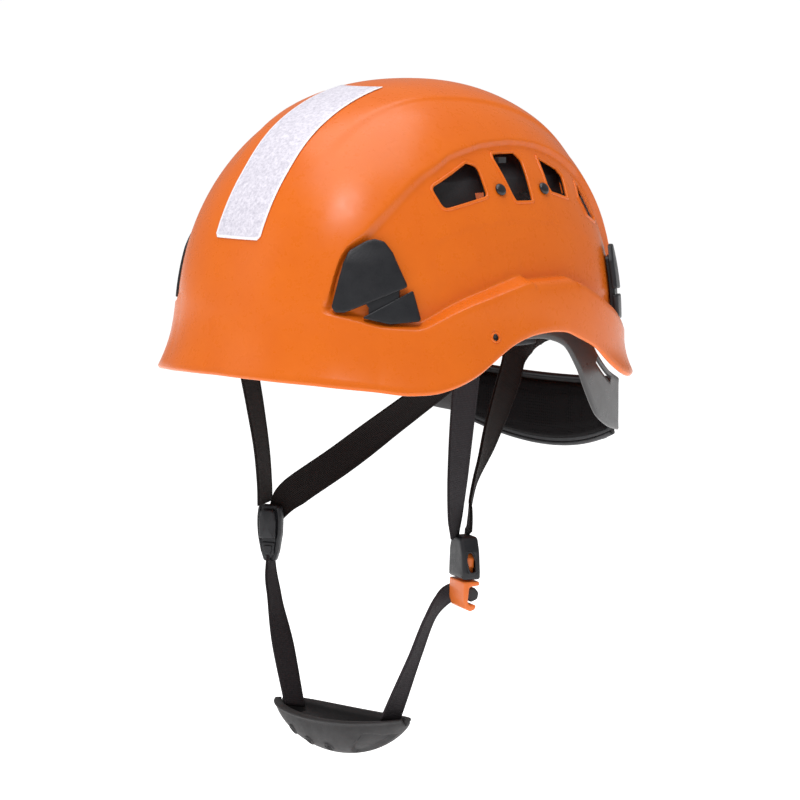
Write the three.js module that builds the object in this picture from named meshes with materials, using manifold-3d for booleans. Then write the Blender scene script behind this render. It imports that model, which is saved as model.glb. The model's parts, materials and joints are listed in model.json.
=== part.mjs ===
// Arborist climbing helmet: shell, sliding vent shutters, webbing cradle, headband,
// nape adjuster and chin strap. Millimetres, +Z up, the wearer looks along -Y, the wearer's
// left is +X. The origin is the centre of the head's seat, level with the shell's rim band.
import * as THREE from "three";
import { mergeVertices } from "three/addons/utils/BufferGeometryUtils.js";
import Module from "manifold-3d";

const wasm = await Module();
wasm.setup();

// ---- driving dimensions ----
const HALF_WIDTH = 101;
const FRONT = 131;
const REAR = 122;
const CROWN = 132;
const PLAN_POWER = 2.25;
const PROFILE_POWER = 2.12;
const WALL = 2.6;
const GAP = 0.3;
const FLARE = { front: 9.3, rear: 16.5 };
const FLARE_START = { front: 15, rear: -8 };
const FLARE_HEIGHT = 35;
const PANEL_DEPTH = 4.2;
const PLATEAU_RISE = 2.4;
const WEBBING = 17;
const WEBBING_THICK = 1.6;
const PIN_PLACES = [[-8.3, 76.3], [25.1, 75.3]];
const PIN_HEAD = 3.3;
const SHUTTER_PIVOT_X = -96;
const SHUTTER_THICK = 1.3;
const BUCKLE = { x: 75.7, y: -29.5, top: -106, bottom: -127, wide: 22, thick: 10, turn: -24 };
const SLIDER = { x: -75.7, y: -29.5, top: -101, bottom: -135 };
const KNOB = { y: 119, z: -56, radius: 17 };

// ---- colours ----
const ORANGE = 0xe8702e;
const BLACK = 0x1d1e20;
const WEB = 0x2a2523;
const GREY = 0x6a6a6a;
const SILVER = 0xd9d6e2;

const group = new THREE.Group();
const radians = THREE.MathUtils.degToRad;

// ---- numbers and curves ----
function smooth(edge0, edge1, value) {
  const t = THREE.MathUtils.clamp((value - edge0) / (edge1 - edge0), 0, 1);
  return t * t * (3 - 2 * t);
}

// A height that varies with the bearing: straight runs between stated stations, eased.
function along(stations, bearing) {
  const last = stations.length - 1;
  if (bearing <= stations[0][0]) return stations[0][1];
  if (bearing >= stations[last][0]) return stations[last][1];
  const next = stations.findIndex(([place]) => place > bearing);
  const [a, low] = stations[next - 1];
  const [b, high] = stations[next];
  return THREE.MathUtils.lerp(low, high, (bearing - a) / (b - a));
}

// Bearings run from -90 at the brow, over 0 at the ear, to 90 at the nape.
const BRIM_EDGE = [[-90, -16], [-78, -16.6], [-64, -18.3], [-51, -21], [-44, -23.2], [-37, -23],
  [-33.5, -21.3], [-29.5, -18.7], [-25, -14.8], [-20, -8.8], [-15, -3], [-11, 0.2], [-7, 2.3],
  [-3, 3.5], [4, 3.8], [10, 2.6], [15, -1.2], [20, -4.6], [25, -8.6], [32, -17.4],
  [38, -23.5], [43, -26.4], [48, -27], [58, -24], [72, -18], [90, -13.5]];
const LEDGE = [[-90, 24], [-66, 21.5], [-58, 17.5], [-50, 12.5], [-40, 11], [-31, 19.5], [-25, 23.5],
  [-14, 29], [-6, 32.5], [9, 32.5], [18, 29], [25, 23], [35, 14], [47, 1.5], [60, -6], [90, -8]];
const LEDGE_WIDTH = [[-68, 0], [-60, 1.2], [-50, 1.6], [-40, 4], [-31, 6], [0, 6], [20, 5], [36, 4],
  [50, 3], [64, 1.5], [90, 1]];
const PANEL_TOP = [[-64, 5], [-62.3, 25], [-61.3, 38], [-60, 46], [-58, 51], [-55, 54.5], [-52, 61],
  [-48, 69], [-43, 78], [-38, 84.5], [-33, 88.5], [-26.5, 94], [-18, 96.8], [-9, 99], [0, 99.7],
  [10, 100], [19, 99], [27.5, 97], [35.5, 93.3], [42.5, 88], [50, 80], [57, 58], [61, 40], [66, -8]];

function dome(bearing, z, inset = 0) {
  const scale = Math.pow(1 - Math.pow(THREE.MathUtils.clamp(z / CROWN, 0, 1), PROFILE_POWER),
    1 / PROFILE_POWER);
  const length = Math.sin(bearing) < 0 ? FRONT : REAR;
  const reach = Math.pow(Math.pow(Math.abs(Math.cos(bearing)) / HALF_WIDTH, PLAN_POWER)
    + Math.pow(Math.abs(Math.sin(bearing)) / length, PLAN_POWER), -1 / PLAN_POWER);
  const rearward = smooth(-10, 35, sideBearing(bearing));
  const start = THREE.MathUtils.lerp(FLARE_START.front, FLARE_START.rear, rearward);
  const below = Math.max(start - z, 0) / FLARE_HEIGHT;
  return reach * scale + THREE.MathUtils.lerp(FLARE.front, FLARE.rear, rearward) * below * below - inset;
}

// The bearing folded onto one side, in degrees.
function sideBearing(bearing) {
  return THREE.MathUtils.radToDeg(Math.atan2(Math.sin(bearing), Math.abs(Math.cos(bearing))));
}

// Moulded relief measured outward from the plain dome.
function relief(bearing, z, x) {
  const side = sideBearing(bearing);
  const ledge = along(LEDGE, side);
  const skirt = along(LEDGE_WIDTH, side) * smooth(ledge, ledge - 4, z);
  const above = smooth(ledge - 4, ledge, z);
  const panelTop = along(PANEL_TOP, side);
  const panel = PANEL_DEPTH * smooth(panelTop + 3, panelTop - 3, z) * above
    * smooth(-67, -63, side) * smooth(67, 61, side);
  const plateauHalf = THREE.MathUtils.mapLinear(side, -90, 90, 30, 52);
  const plateau = PLATEAU_RISE * smooth(plateauHalf + 2.5, plateauHalf - 2.5, Math.abs(x))
    * smooth(84, 112, z);
  return skirt - panel + plateau;
}

function shellPoint(bearing, z) {
  const plain = dome(bearing, z);
  const radius = Math.max(plain + relief(bearing, z, plain * Math.cos(bearing)), 0);
  return new THREE.Vector3(radius * Math.cos(bearing), radius * Math.sin(bearing), z);
}

// A point under the outer surface, along the surface's own normal.
function shellInside(bearing, z, depth) {
  const step = 0.02;
  const here = shellPoint(bearing, z);
  const round = shellPoint(bearing + step, z).sub(shellPoint(bearing - step, z));
  const up = shellPoint(bearing, z + 1).sub(shellPoint(bearing, z - 1));
  const normal = round.cross(up).normalize();
  return here.addScaledVector(normal, -depth);
}

// ---- solids ----
function volume(positions, triangles) {
  const corner = (i) => new THREE.Vector3(...positions.slice(3 * triangles[i], 3 * triangles[i] + 3));
  let total = 0;
  for (let i = 0; i < triangles.length; i += 3) {
    total += corner(i).dot(corner(i + 1).cross(corner(i + 2)));
  }
  return total;
}

function bodyFrom(positions, triangles) {
  if (volume(positions, triangles) < 0) triangles.reverse();
  const geometry = new THREE.BufferGeometry();
  geometry.setAttribute("position", new THREE.Float32BufferAttribute(positions, 3));
  geometry.setIndex(triangles);
  return geometry;
}

function solid(geometry) {
  const plain = geometry.clone();
  plain.deleteAttribute("normal");
  plain.deleteAttribute("uv");
  const merged = mergeVertices(plain, 1e-4);
  return new wasm.Manifold(new wasm.Mesh({
    numProp: 3,
    vertProperties: Float32Array.from(merged.attributes.position.array),
    triVerts: Uint32Array.from(merged.index.array),
  }));
}

function geometryOf(manifold) {
  const mesh = manifold.getMesh();
  return bodyFrom(Array.from(mesh.vertProperties), Array.from(mesh.triVerts));
}

function mirrored(geometry) {
  const copy = geometry.clone().scale(-1, 1, 1);
  const index = Array.from(copy.index.array);
  for (let i = 0; i < index.length; i += 3) {
    [index[i], index[i + 1]] = [index[i + 1], index[i]];
  }
  copy.setIndex(index);
  return copy;
}

function add(name, geometry, colour, roughness = 0.6, metalness = 0) {
  const shape = geometry.index ? geometry : mergeVertices(geometry);
  shape.computeVertexNormals();
  const mesh = new THREE.Mesh(shape, new THREE.MeshStandardMaterial({
    color: colour, roughness, metalness,
  }));
  mesh.name = name;
  group.add(mesh);
}

// A closed grid: rows of rings, capped into one body. point(i, j) gives the ring point.
function ringStack(rows, sides, point) {
  const positions = [];
  const triangles = [];
  for (let j = 0; j < rows; j += 1) {
    for (let i = 0; i < sides; i += 1) positions.push(...point(i, j).toArray());
  }
  for (let j = 0; j < rows - 1; j += 1) {
    for (let i = 0; i < sides; i += 1) {
      const next = (i + 1) % sides;
      const a = j * sides + i;
      const b = j * sides + next;
      triangles.push(a, b, b + sides, a, b + sides, a + sides);
    }
  }
  for (let i = 1; i < sides - 1; i += 1) {
    triangles.push(0, i + 1, i);
    const top = (rows - 1) * sides;
    triangles.push(top, top + i, top + i + 1);
  }
  return bodyFrom(positions, triangles);
}

// A plate between two surfaces over a rectangle of parameters u, v.
function plate(columns, rows, face, back) {
  const positions = [];
  const triangles = [];
  const layer = (columns + 1) * (rows + 1);
  for (const surface of [face, back]) {
    for (let j = 0; j <= rows; j += 1) {
      for (let i = 0; i <= columns; i += 1) positions.push(...surface(i / columns, j / rows).toArray());
    }
  }
  const quad = (a, b, c, d) => triangles.push(a, b, c, a, c, d);
  const at = (i, j) => j * (columns + 1) + i;
  for (let j = 0; j < rows; j += 1) {
    for (let i = 0; i < columns; i += 1) {
      quad(at(i, j), at(i + 1, j), at(i + 1, j + 1), at(i, j + 1));
      quad(layer + at(i, j), layer + at(i, j + 1), layer + at(i + 1, j + 1), layer + at(i + 1, j));
    }
    quad(at(0, j), at(0, j + 1), layer + at(0, j + 1), layer + at(0, j));
    quad(at(columns, j), layer + at(columns, j), layer + at(columns, j + 1), at(columns, j + 1));
  }
  for (let i = 0; i < columns; i += 1) {
    quad(at(i, 0), layer + at(i, 0), layer + at(i + 1, 0), at(i + 1, 0));
    quad(at(i, rows), at(i + 1, rows), layer + at(i + 1, rows), layer + at(i, rows));
  }
  return bodyFrom(positions, triangles);
}

// A flat strap through stations {at, wide, share}: wide is its width direction, share its folded width.
function strap(stations, steps, width = WEBBING, thick = WEBBING_THICK) {
  const path = new THREE.CatmullRomCurve3(stations.map((s) => new THREE.Vector3(...s.at)));
  const widths = new THREE.CatmullRomCurve3(stations.map((s) => new THREE.Vector3(...s.wide)));
  const shares = new THREE.CatmullRomCurve3(stations.map((s) => new THREE.Vector3(s.share ?? 1, 0, 0)));
  return ringStack(steps + 1, 4, (i, j) => {
    const t = j / steps;
    const tangent = path.getTangent(t);
    const across = widths.getPoint(t);
    across.addScaledVector(tangent, -across.dot(tangent)).normalize();
    const out = tangent.clone().cross(across);
    const sx = i === 0 || i === 3 ? -1 : 1;
    const sy = i < 2 ? -1 : 1;
    return path.getPoint(t).addScaledVector(across, sx * shares.getPoint(t).x * width / 2)
      .addScaledVector(out, sy * thick / 2);
  });
}

function outline(points) {
  return new THREE.Shape(points.map(([x, y]) => new THREE.Vector2(x, y)));
}

// Extrudes an outline drawn in (Y, Z) along +X from x0 to x1.
function alongX(points, x0, x1) {
  const geometry = new THREE.ExtrudeGeometry(outline(points), { depth: x1 - x0, bevelEnabled: false });
  const turn = new THREE.Matrix4().makeBasis(new THREE.Vector3(0, 1, 0), new THREE.Vector3(0, 0, 1),
    new THREE.Vector3(1, 0, 0));
  return geometry.applyMatrix4(turn).translate(x0, 0, 0);
}

function boxAt(x0, x1, y0, y1, z0, z1) {
  return new THREE.BoxGeometry(x1 - x0, y1 - y0, z1 - z0)
    .translate((x0 + x1) / 2, (y0 + y1) / 2, (z0 + z1) / 2);
}

// A turned piece: profile of [radius, height] stations about an axis direction.
function turned(profile, sides, axis, place) {
  const geometry = new THREE.LatheGeometry(profile.map(([r, h]) => new THREE.Vector2(r, h)), sides);
  const spin = new THREE.Quaternion().setFromUnitVectors(new THREE.Vector3(0, 1, 0), axis);
  return mergeVertices(cleaned(geometry.applyQuaternion(spin).translate(...place)), 1e-3);
}

function cleaned(geometry) {
  geometry.deleteAttribute("normal");
  geometry.deleteAttribute("uv");
  return geometry;
}

function union(...geometries) {
  return geometryOf(geometries.map(solid).reduce((sum, next) => sum.add(next)));
}

// ---- outer shell ----
const SIDES = 80;
const ROWS = 15;
const VENTS = [
  [[-51.5, 79.3], [-24.5, 91.6], [-18.8, 90.2], [-16.8, 87], [-17.6, 75.5], [-20, 73], [-46, 67.2],
    [-49.8, 69.4]],
  [[-3.6, 95.3], [13, 95.3], [17.2, 90.5], [14.4, 70.6], [13, 69.2], [0.4, 69.6], [-1.4, 74], [-4.8, 92]],
  [[31, 92.3], [46.2, 85.2], [49.8, 80.6], [46.2, 69], [31, 73], [29.2, 77.6]],
  [[63.2, 77.4], [67.2, 75], [77.4, 57], [74, 54.6], [62.6, 59.4], [58.6, 68.4]],
];

// A flat land cut into the ledge over each ear, where ear defenders clip on.
const EAR_SLOT = { inner: 96.6, front: -6, rear: 25, land: 30 };

function brimHeight(bearing) {
  return along(BRIM_EDGE, sideBearing(bearing));
}

function shellBlank() {
  const positions = [];
  const triangles = [];
  const place = (i, j, depth) => {
    const bearing = (i / SIDES) * 2 * Math.PI;
    const low = brimHeight(bearing);
    const z = low + (CROWN - low) * Math.sin((j / ROWS) * Math.PI / 2);
    return depth ? shellInside(bearing, z, depth) : shellPoint(bearing, z);
  };
  for (const depth of [0, WALL]) {
    for (let j = 0; j < ROWS; j += 1) {
      for (let i = 0; i < SIDES; i += 1) positions.push(...place(i, j, depth).toArray());
    }
    positions.push(0, 0, CROWN + PLATEAU_RISE - depth);
  }
  const layer = ROWS * SIDES + 1;
  for (let j = 0; j < ROWS; j += 1) {
    for (let i = 0; i < SIDES; i += 1) {
      const next = (i + 1) % SIDES;
      const a = j * SIDES + i;
      const b = j * SIDES + next;
      const top = j === ROWS - 1;
      const c = top ? layer - 1 : b + SIDES;
      const d = a + SIDES;
      triangles.push(a, b, c, a + layer, c + layer, b + layer);
      if (!top) triangles.push(a, c, d, a + layer, d + layer, c + layer);
      if (j === 0) triangles.push(a, a + layer, b + layer, a, b + layer, b);
    }
  }
  return bodyFrom(positions, triangles);
}

function makeShell() {
  let body = solid(shellBlank());
  for (const vent of VENTS) {
    const cut = alongX(vent, 30, 120);
    body = body.subtract(solid(cut)).subtract(solid(mirrored(mergeVertices(cleaned(cut)))));
  }
  for (const hole of pinHoles()) {
    body = body.subtract(solid(hole)).subtract(solid(mirrored(hole)));
  }
  const visorHole = turned([[0, 85], [2.2, 85], [2.2, 125], [0, 125]], 12,
    new THREE.Vector3(1, 0, 0), [0, -36.4, 2.5]);
  body = body.subtract(solid(visorHole)).subtract(solid(mirrored(visorHole)));
  const slot = mergeVertices(cleaned(boxAt(EAR_SLOT.inner, 115, EAR_SLOT.front, EAR_SLOT.rear,
    EAR_SLOT.land, 40)));
  body = body.subtract(solid(slot)).subtract(solid(mirrored(slot)));
  for (const clip of CLIPS) {
    const room = clipBody(clip, GAP);
    body = body.subtract(room).subtract(solid(mirrored(geometryOf(room))));
  }
  add("shell", geometryOf(body), ORANGE, 0.5);
}

// ---- headlamp clips ----
// Outlines are drawn in (tangential distance, Z) on the plane square to the clip's bearing.
const CLIPS = [
  {
    name: "front",
    bearing: radians(-52),
    plates: [[[-20.8, 20], [-19, 17.2], [-14, 17.1], [17.4, 29.8], [9.2, 47.5], [4.8, 53], [0, 54.4],
      [-4, 53.6], [-12.8, 48.6], [-15.5, 42]], [[-5.4, 14.4], [19.8, 28], [24.2, 12], [9, 10.9]]],
    base: [[-2, 13.5], [13, 14.5], [13, 28], [8, 46], [-10, 46], [-10, 26], [-2, 20]],
  },
  {
    name: "rear",
    bearing: radians(51),
    plates: [[[-13, 19], [11, 17.5], [10, 34], [6, 42], [-6, 42], [-12, 34]],
      [[-13, 15.8], [11, 14.3], [10, 1], [-11, 3]]],
    base: [[-11, 5], [9, 4], [8, 36], [-9, 36]],
  },
];

function domeLayer(low, high) {
  const positions = [];
  const rows = 14;
  const sides = 60;
  const blank = (inset) => {
    const geometry = ringStack(rows + 1, sides, (i, j) => {
      const bearing = (i / sides) * 2 * Math.PI;
      const z = -20 + (j / rows) * 90;
      const radius = dome(bearing, Math.max(z, 0), inset) + (z < 0 ? -z * 0.12 : 0);
      return new THREE.Vector3(radius * Math.cos(bearing), radius * Math.sin(bearing), z);
    });
    return solid(geometry);
  };
  return blank(-high).subtract(blank(-low));
}

function clipPrism(points, bearing, margin) {
  const centre = new THREE.Vector2();
  points.forEach(([u, z]) => centre.add(new THREE.Vector2(u, z).divideScalar(points.length)));
  const grown = points.map(([u, z]) => {
    const away = new THREE.Vector2(u, z).sub(centre);
    const reach = away.length();
    return [u + away.x * margin * 1.6 / reach, z + away.y * margin * 1.6 / reach];
  });
  const geometry = new THREE.ExtrudeGeometry(outline(grown), { depth: 120, bevelEnabled: false });
  const outward = new THREE.Vector3(Math.cos(bearing), Math.sin(bearing), 0);
  const tangent = new THREE.Vector3(-Math.sin(bearing), Math.cos(bearing), 0);
  const up = new THREE.Vector3(0, 0, 1);
  geometry.applyMatrix4(new THREE.Matrix4().makeBasis(tangent, up, outward));
  geometry.translate(outward.x * 40, outward.y * 40, 0);
  return solid(geometry);
}

function clipBody(clip, margin = 0) {
  const faces = domeLayer(-1.2 - margin, 1.2 + margin);
  const root = domeLayer(-3.2 - margin, 0);
  const [upper, lower] = clip.plates.map((points) => clipPrism(points, clip.bearing, margin));
  const base = clipPrism(clip.base, clip.bearing, margin);
  return faces.intersect(upper).add(faces.intersect(lower)).add(root.intersect(base));
}

function makeClips() {
  for (const clip of CLIPS) {
    const body = geometryOf(clipBody(clip));
    add(`headlamp_clip_${clip.name}_left`, body, BLACK, 0.5);
    add(`headlamp_clip_${clip.name}_right`, mirrored(body), BLACK, 0.5);
  }
}

// ---- reflective strip on the brow ----
function makeStrip() {
  const halfWidth = 17;
  const top = 128;
  const bottom = 52;
  const surface = (lift) => (u, v) => {
    const z = bottom + (top - bottom) * Math.sin(v * Math.PI / 2);
    const x = (u - 0.5) * 2 * halfWidth;
    const radius = dome(-Math.PI / 2, z);
    const bearing = Math.atan2(-radius, x);
    const reach = dome(bearing, z) + relief(bearing, z, x);
    return new THREE.Vector3(reach * Math.cos(bearing), reach * Math.sin(bearing), z)
      .multiplyScalar(1 + lift / CROWN);
  };
  add("reflective_strip", plate(6, 10, surface(1.9), surface(1.3)), SILVER, 0.4);
}

// ---- sliding vent shutters and their pins ----
const SHUTTER = { front: -66, rear: 74, bottom: 66, top: 96, columns: 26, rows: 4, travel: 7.5 };
const SHUTTER_WINDOWS = [
  [[-61, 77], [-54.5, 80], [-54.5, 71], [-61, 71]],
  [[-7.5, 89], [-0.5, 89], [0.5, 80.5], [-5.5, 80.5]],
  [[27.5, 90], [35, 90], [34.5, 80.5], [26.5, 80.5]],
  [[54, 77], [60, 75], [59, 70], [54, 71]],
];
const SHUTTER_TAB = { front: -0.6, rear: 5, bottom: 89.6, top: 92.6 };

// The largest radius about the shutter's upright axis that clears the shell's inner wall.
function shutterRadius(z) {
  let least = Infinity;
  for (let y = SHUTTER.front; y <= SHUTTER.rear + SHUTTER.travel; y += 4) {
    let bearing = Math.atan2(y, HALF_WIDTH * 0.8);
    for (let turn = 0; turn < 6; turn += 1) {
      const wall = shellInside(bearing, z, WALL);
      bearing += (y - wall.y) / HALF_WIDTH;
    }
    const wall = shellInside(bearing, z, WALL + 0.9);
    least = Math.min(least, Math.hypot(wall.x - SHUTTER_PIVOT_X, wall.y) + (wall.z - z) * 0.3);
  }
  return least;
}

const SHUTTER_RADII = [];
for (let row = 0; row <= SHUTTER.rows; row += 1) {
  SHUTTER_RADII.push(shutterRadius(THREE.MathUtils.lerp(SHUTTER.bottom, SHUTTER.top, row / SHUTTER.rows)));
}

function shutterRadiusAt(z) {
  const row = THREE.MathUtils.clamp((z - SHUTTER.bottom) / (SHUTTER.top - SHUTTER.bottom), 0, 0.999)
    * SHUTTER.rows;
  const below = Math.floor(row);
  return THREE.MathUtils.lerp(SHUTTER_RADII[below], SHUTTER_RADII[below + 1], row - below);
}

function shutterSurface(inset) {
  return (u, v) => {
    const z = THREE.MathUtils.lerp(SHUTTER.bottom, SHUTTER.top, v);
    const radius = SHUTTER_RADII[Math.round(v * SHUTTER.rows)] - inset;
    const middle = SHUTTER_RADII[2];
    const angle = THREE.MathUtils.lerp(SHUTTER.front, SHUTTER.rear, u) / middle;
    return new THREE.Vector3(SHUTTER_PIVOT_X + radius * Math.cos(angle), radius * Math.sin(angle), z);
  };
}

function makeShutters() {
  const panel = plate(SHUTTER.columns, SHUTTER.rows, shutterSurface(0), shutterSurface(SHUTTER_THICK));
  let body = solid(panel);
  for (const points of SHUTTER_WINDOWS) body = body.subtract(solid(alongX(points, 20, 110)));
  for (const place of PIN_PLACES) {
    const { y, z } = pinCrossing(pinPlace(place));
    const slot = alongX([[y - SHUTTER.travel - 2.6, z - 2.4], [y + 2.6, z - 2.4], [y + 2.6, z + 2.4],
      [y - SHUTTER.travel - 2.6, z + 2.4]], 20, 110);
    body = body.subtract(solid(slot));
  }
  const tabRoot = SHUTTER_PIVOT_X + shutterRadiusAt(91) - SHUTTER_THICK * 0.7;
  const tabTip = shellPoint(0.03, SHUTTER_TAB.top).x + 1;
  body = body.add(solid(boxAt(tabRoot, tabTip, SHUTTER_TAB.front, SHUTTER_TAB.rear,
    SHUTTER_TAB.bottom, SHUTTER_TAB.top)));
  const shape = geometryOf(body);
  add("vent_shutter_left", shape, BLACK, 0.6);
  add("vent_shutter_right", mirrored(shape), BLACK, 0.6);
}

function pinPlace([y, z]) {
  let bearing = Math.atan2(y, HALF_WIDTH * 0.8);
  for (let turn = 0; turn < 8; turn += 1) bearing += (y - shellPoint(bearing, z).y) / HALF_WIDTH;
  const at = shellPoint(bearing, z);
  return { at, axis: at.clone().sub(shellInside(bearing, z, 1)).normalize() };
}

// Where the pin's axis meets the middle of the shutter's wall.
function pinCrossing({ at, axis }) {
  const point = at.clone();
  const reach = () => Math.hypot(point.x - SHUTTER_PIVOT_X, point.y);
  while (reach() > shutterRadiusAt(point.z) - SHUTTER_THICK / 2) point.addScaledVector(axis, -0.05);
  return point;
}

function makePins() {
  PIN_PLACES.forEach((place, index) => {
    const { at, axis } = pinPlace(place);
    const tail = -at.distanceTo(pinCrossing({ at, axis })) - SHUTTER_THICK - 1.6;
    const profile = [[0, tail - 1.2], [2.6, tail - 1.2], [2.6, tail], [1.4, tail], [1.4, 0.4],
      [PIN_HEAD, 0.4],
      [PIN_HEAD * 0.85, 1.4], [PIN_HEAD * 0.5, 2], [0, 2.2]];
    const shape = turned(profile, 12, axis, at.toArray());
    add(`shutter_pin_${index + 1}_left`, shape, BLACK, 0.4);
    add(`shutter_pin_${index + 1}_right`, mirrored(shape), BLACK, 0.4);
  });
}

function pinHoles() {
  return PIN_PLACES.map((place) => {
    const { at, axis } = pinPlace(place);
    return turned([[0, -12], [1.9, -12], [1.9, 6], [0, 6]], 10, axis, at.toArray());
  });
}

// ---- webbing cradle over the head ----
const CRADLE = [
  { name: "front_rear", bearing: 90, top: 98 },
  { name: "diagonal_left", bearing: 37, top: 95.6 },
  { name: "diagonal_right", bearing: 143, top: 93.2 },
];
const CRADLE_FOOT = 19;
const CRADLE_INSET = 14.5;

function makeCradle() {
  for (const { name, bearing, top } of CRADLE) {
    const turn = radians(bearing);
    const wide = [-Math.sin(turn), Math.cos(turn), 0];
    const stations = [];
    for (let k = 0; k <= 12; k += 1) {
      const angle = (k / 12) * Math.PI;
      const end = angle < Math.PI / 2 ? turn : turn + Math.PI;
      const reach = Math.abs(Math.cos(angle)) * (dome(end, CRADLE_FOOT) - CRADLE_INSET);
      const z = CRADLE_FOOT + (top - CRADLE_FOOT) * Math.sin(angle);
      stations.push({ at: [reach * Math.cos(end), reach * Math.sin(end), z], wide });
    }
    add(`crown_strap_${name}`, strap(stations, 20, 20, 1.4), WEB, 0.9);
    [turn, turn + Math.PI].forEach((end, index) => {
      add(`cradle_anchor_${name}_${index + 1}`, cradleAnchor(end), BLACK, 0.5);
    });
  }
}

// A clip that hooks the strap's loop to the shell's inner wall below the strap's end.
function cradleAnchor(bearing) {
  const outer = dome(bearing, CRADLE_FOOT) - WALL - PANEL_DEPTH - 1.4;
  const inner = dome(bearing, CRADLE_FOOT) - CRADLE_INSET - 2.5;
  const block = boxAt(inner, outer, -11, 11, CRADLE_FOOT - 9, CRADLE_FOOT - 1.4);
  return block.rotateZ(bearing);
}

// ---- headband and brow pad ----
const BAND = { halfWidth: 79, halfLength: 97, low: -7, high: 21, thick: 1.8 };

function bandSurface(inset, from, to, low, high) {
  return (u, v) => {
    const bearing = radians(THREE.MathUtils.lerp(from, to, u));
    return new THREE.Vector3((BAND.halfWidth - inset) * Math.cos(bearing),
      (BAND.halfLength - inset) * Math.sin(bearing), THREE.MathUtils.lerp(low, high, v));
  };
}

function makeHeadband() {
  const band = plate(40, 1, bandSurface(0, -194, 14, BAND.low, BAND.high),
    bandSurface(BAND.thick, -194, 14, BAND.low, BAND.high));
  add("headband", band, BLACK, 0.6);
  const pad = plate(24, 1, bandSurface(BAND.thick + GAP, -150, -30, BAND.low + 1, BAND.high - 1),
    bandSurface(BAND.thick + 5.5, -150, -30, BAND.low + 1, BAND.high - 1));
  add("brow_pad", pad, WEB, 0.95);
}

// ---- nape adjuster: tilting arms, sliding cradle, knob, pinion and racks ----
const ARM = [
  { x: 83.5, y: 6, low: -3, high: 17 }, { x: 84.5, y: 22, low: -4, high: 19 },
  { x: 85, y: 36, low: -9, high: 16 }, { x: 83, y: 48, low: -22, high: 8 },
  { x: 80, y: 58, low: -36, high: -3 }, { x: 75.5, y: 70, low: -49, high: -15 },
  { x: 69, y: 86, low: -57, high: -26 }, { x: 62.5, y: 101, low: -61, high: -32 },
];
const ARM_THICK = 2;
const CRADLE_HALF = 59;
const CRADLE_BOW = 8;
const TEETH = { pitchRadius: 5.5, height: 1.6, count: 11 };
const RACK = { height: 5, thick: 3, y0: 112.2 };

function armSurface(side) {
  const path = new THREE.CatmullRomCurve3(ARM.map(({ x, y }) => new THREE.Vector3(x, y, 0)));
  const low = new THREE.CatmullRomCurve3(ARM.map(({ low: z, y }) => new THREE.Vector3(0, y, z)));
  const high = new THREE.CatmullRomCurve3(ARM.map(({ high: z, y }) => new THREE.Vector3(0, y, z)));
  return (u, v) => {
    const tangent = path.getTangent(u);
    const point = path.getPoint(u);
    point.z = THREE.MathUtils.lerp(low.getPoint(u).z, high.getPoint(u).z, v);
    return point.add(new THREE.Vector3(tangent.y, -tangent.x, 0).multiplyScalar(side));
  };
}

function makeArms() {
  const arm = plate(18, 2, armSurface(ARM_THICK / 2), armSurface(-ARM_THICK / 2));
  add("nape_arm_left", arm, GREY, 0.4);
  add("nape_arm_right", mirrored(arm), GREY, 0.4);
}

// The cradle's curved sheets: y grows with the bow towards the middle.
function cradleSheet(offset, inset) {
  return (u, v) => {
    const x = THREE.MathUtils.lerp(-CRADLE_HALF + inset, CRADLE_HALF - inset, u);
    const bow = 1 - (x / CRADLE_HALF) ** 2;
    const low = -63 - 12 * bow + inset;
    const high = -32 - 3 * bow - inset;
    return new THREE.Vector3(x, 103 + CRADLE_BOW * bow + offset, THREE.MathUtils.lerp(low, high, v));
  };
}

function rackBar(direction) {
  const z = KNOB.z + direction * (TEETH.pitchRadius + TEETH.height / 2 + GAP + RACK.height / 2);
  const body = boxAt(-4, 42, RACK.y0, RACK.y0 + RACK.thick, z - RACK.height / 2, z + RACK.height / 2);
  const toothed = [body];
  const pitch = (2 * Math.PI * TEETH.pitchRadius) / TEETH.count;
  const root = z - direction * RACK.height / 2;
  for (let k = 0; k < 12; k += 1) {
    const x = (k + (direction > 0 ? 0.5 : 0)) * pitch;
    const edge = root - direction * TEETH.height;
    toothed.push(boxAt(x - pitch * 0.16, x + pitch * 0.16, RACK.y0, RACK.y0 + RACK.thick,
      Math.min(root, edge) - 0.05, Math.max(root, edge) + 0.05));
  }
  return toothed;
}

function makeRacks() {
  const upper = union(...rackBar(1).map(cleaned).map((shape) => mergeVertices(shape)));
  const lower = union(...rackBar(-1).map(cleaned).map((shape) => mergeVertices(shape)));
  add("nape_rack_left", upper, BLACK, 0.5);
  add("nape_rack_right", mirrored(lower), BLACK, 0.5);
}

function makePinion() {
  const axis = new THREE.Vector3(0, 1, 0);
  const hub = turned([[0, -0.4], [TEETH.pitchRadius - TEETH.height / 2, -0.4],
    [TEETH.pitchRadius - TEETH.height / 2, 3.4], [2.6, 3.4], [2.6, 9], [0, 9]], 22, axis,
  [0, RACK.y0, KNOB.z]);
  let body = solid(hub);
  for (let k = 0; k < TEETH.count; k += 1) {
    const tooth = boxAt(-0.55, 0.55, RACK.y0, RACK.y0 + RACK.thick, TEETH.pitchRadius - TEETH.height,
      TEETH.pitchRadius + TEETH.height / 2);
    tooth.rotateY((k / TEETH.count) * 2 * Math.PI).translate(0, 0, KNOB.z);
    body = body.add(solid(tooth));
  }
  add("nape_pinion", geometryOf(body), BLACK, 0.5);
}

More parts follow.
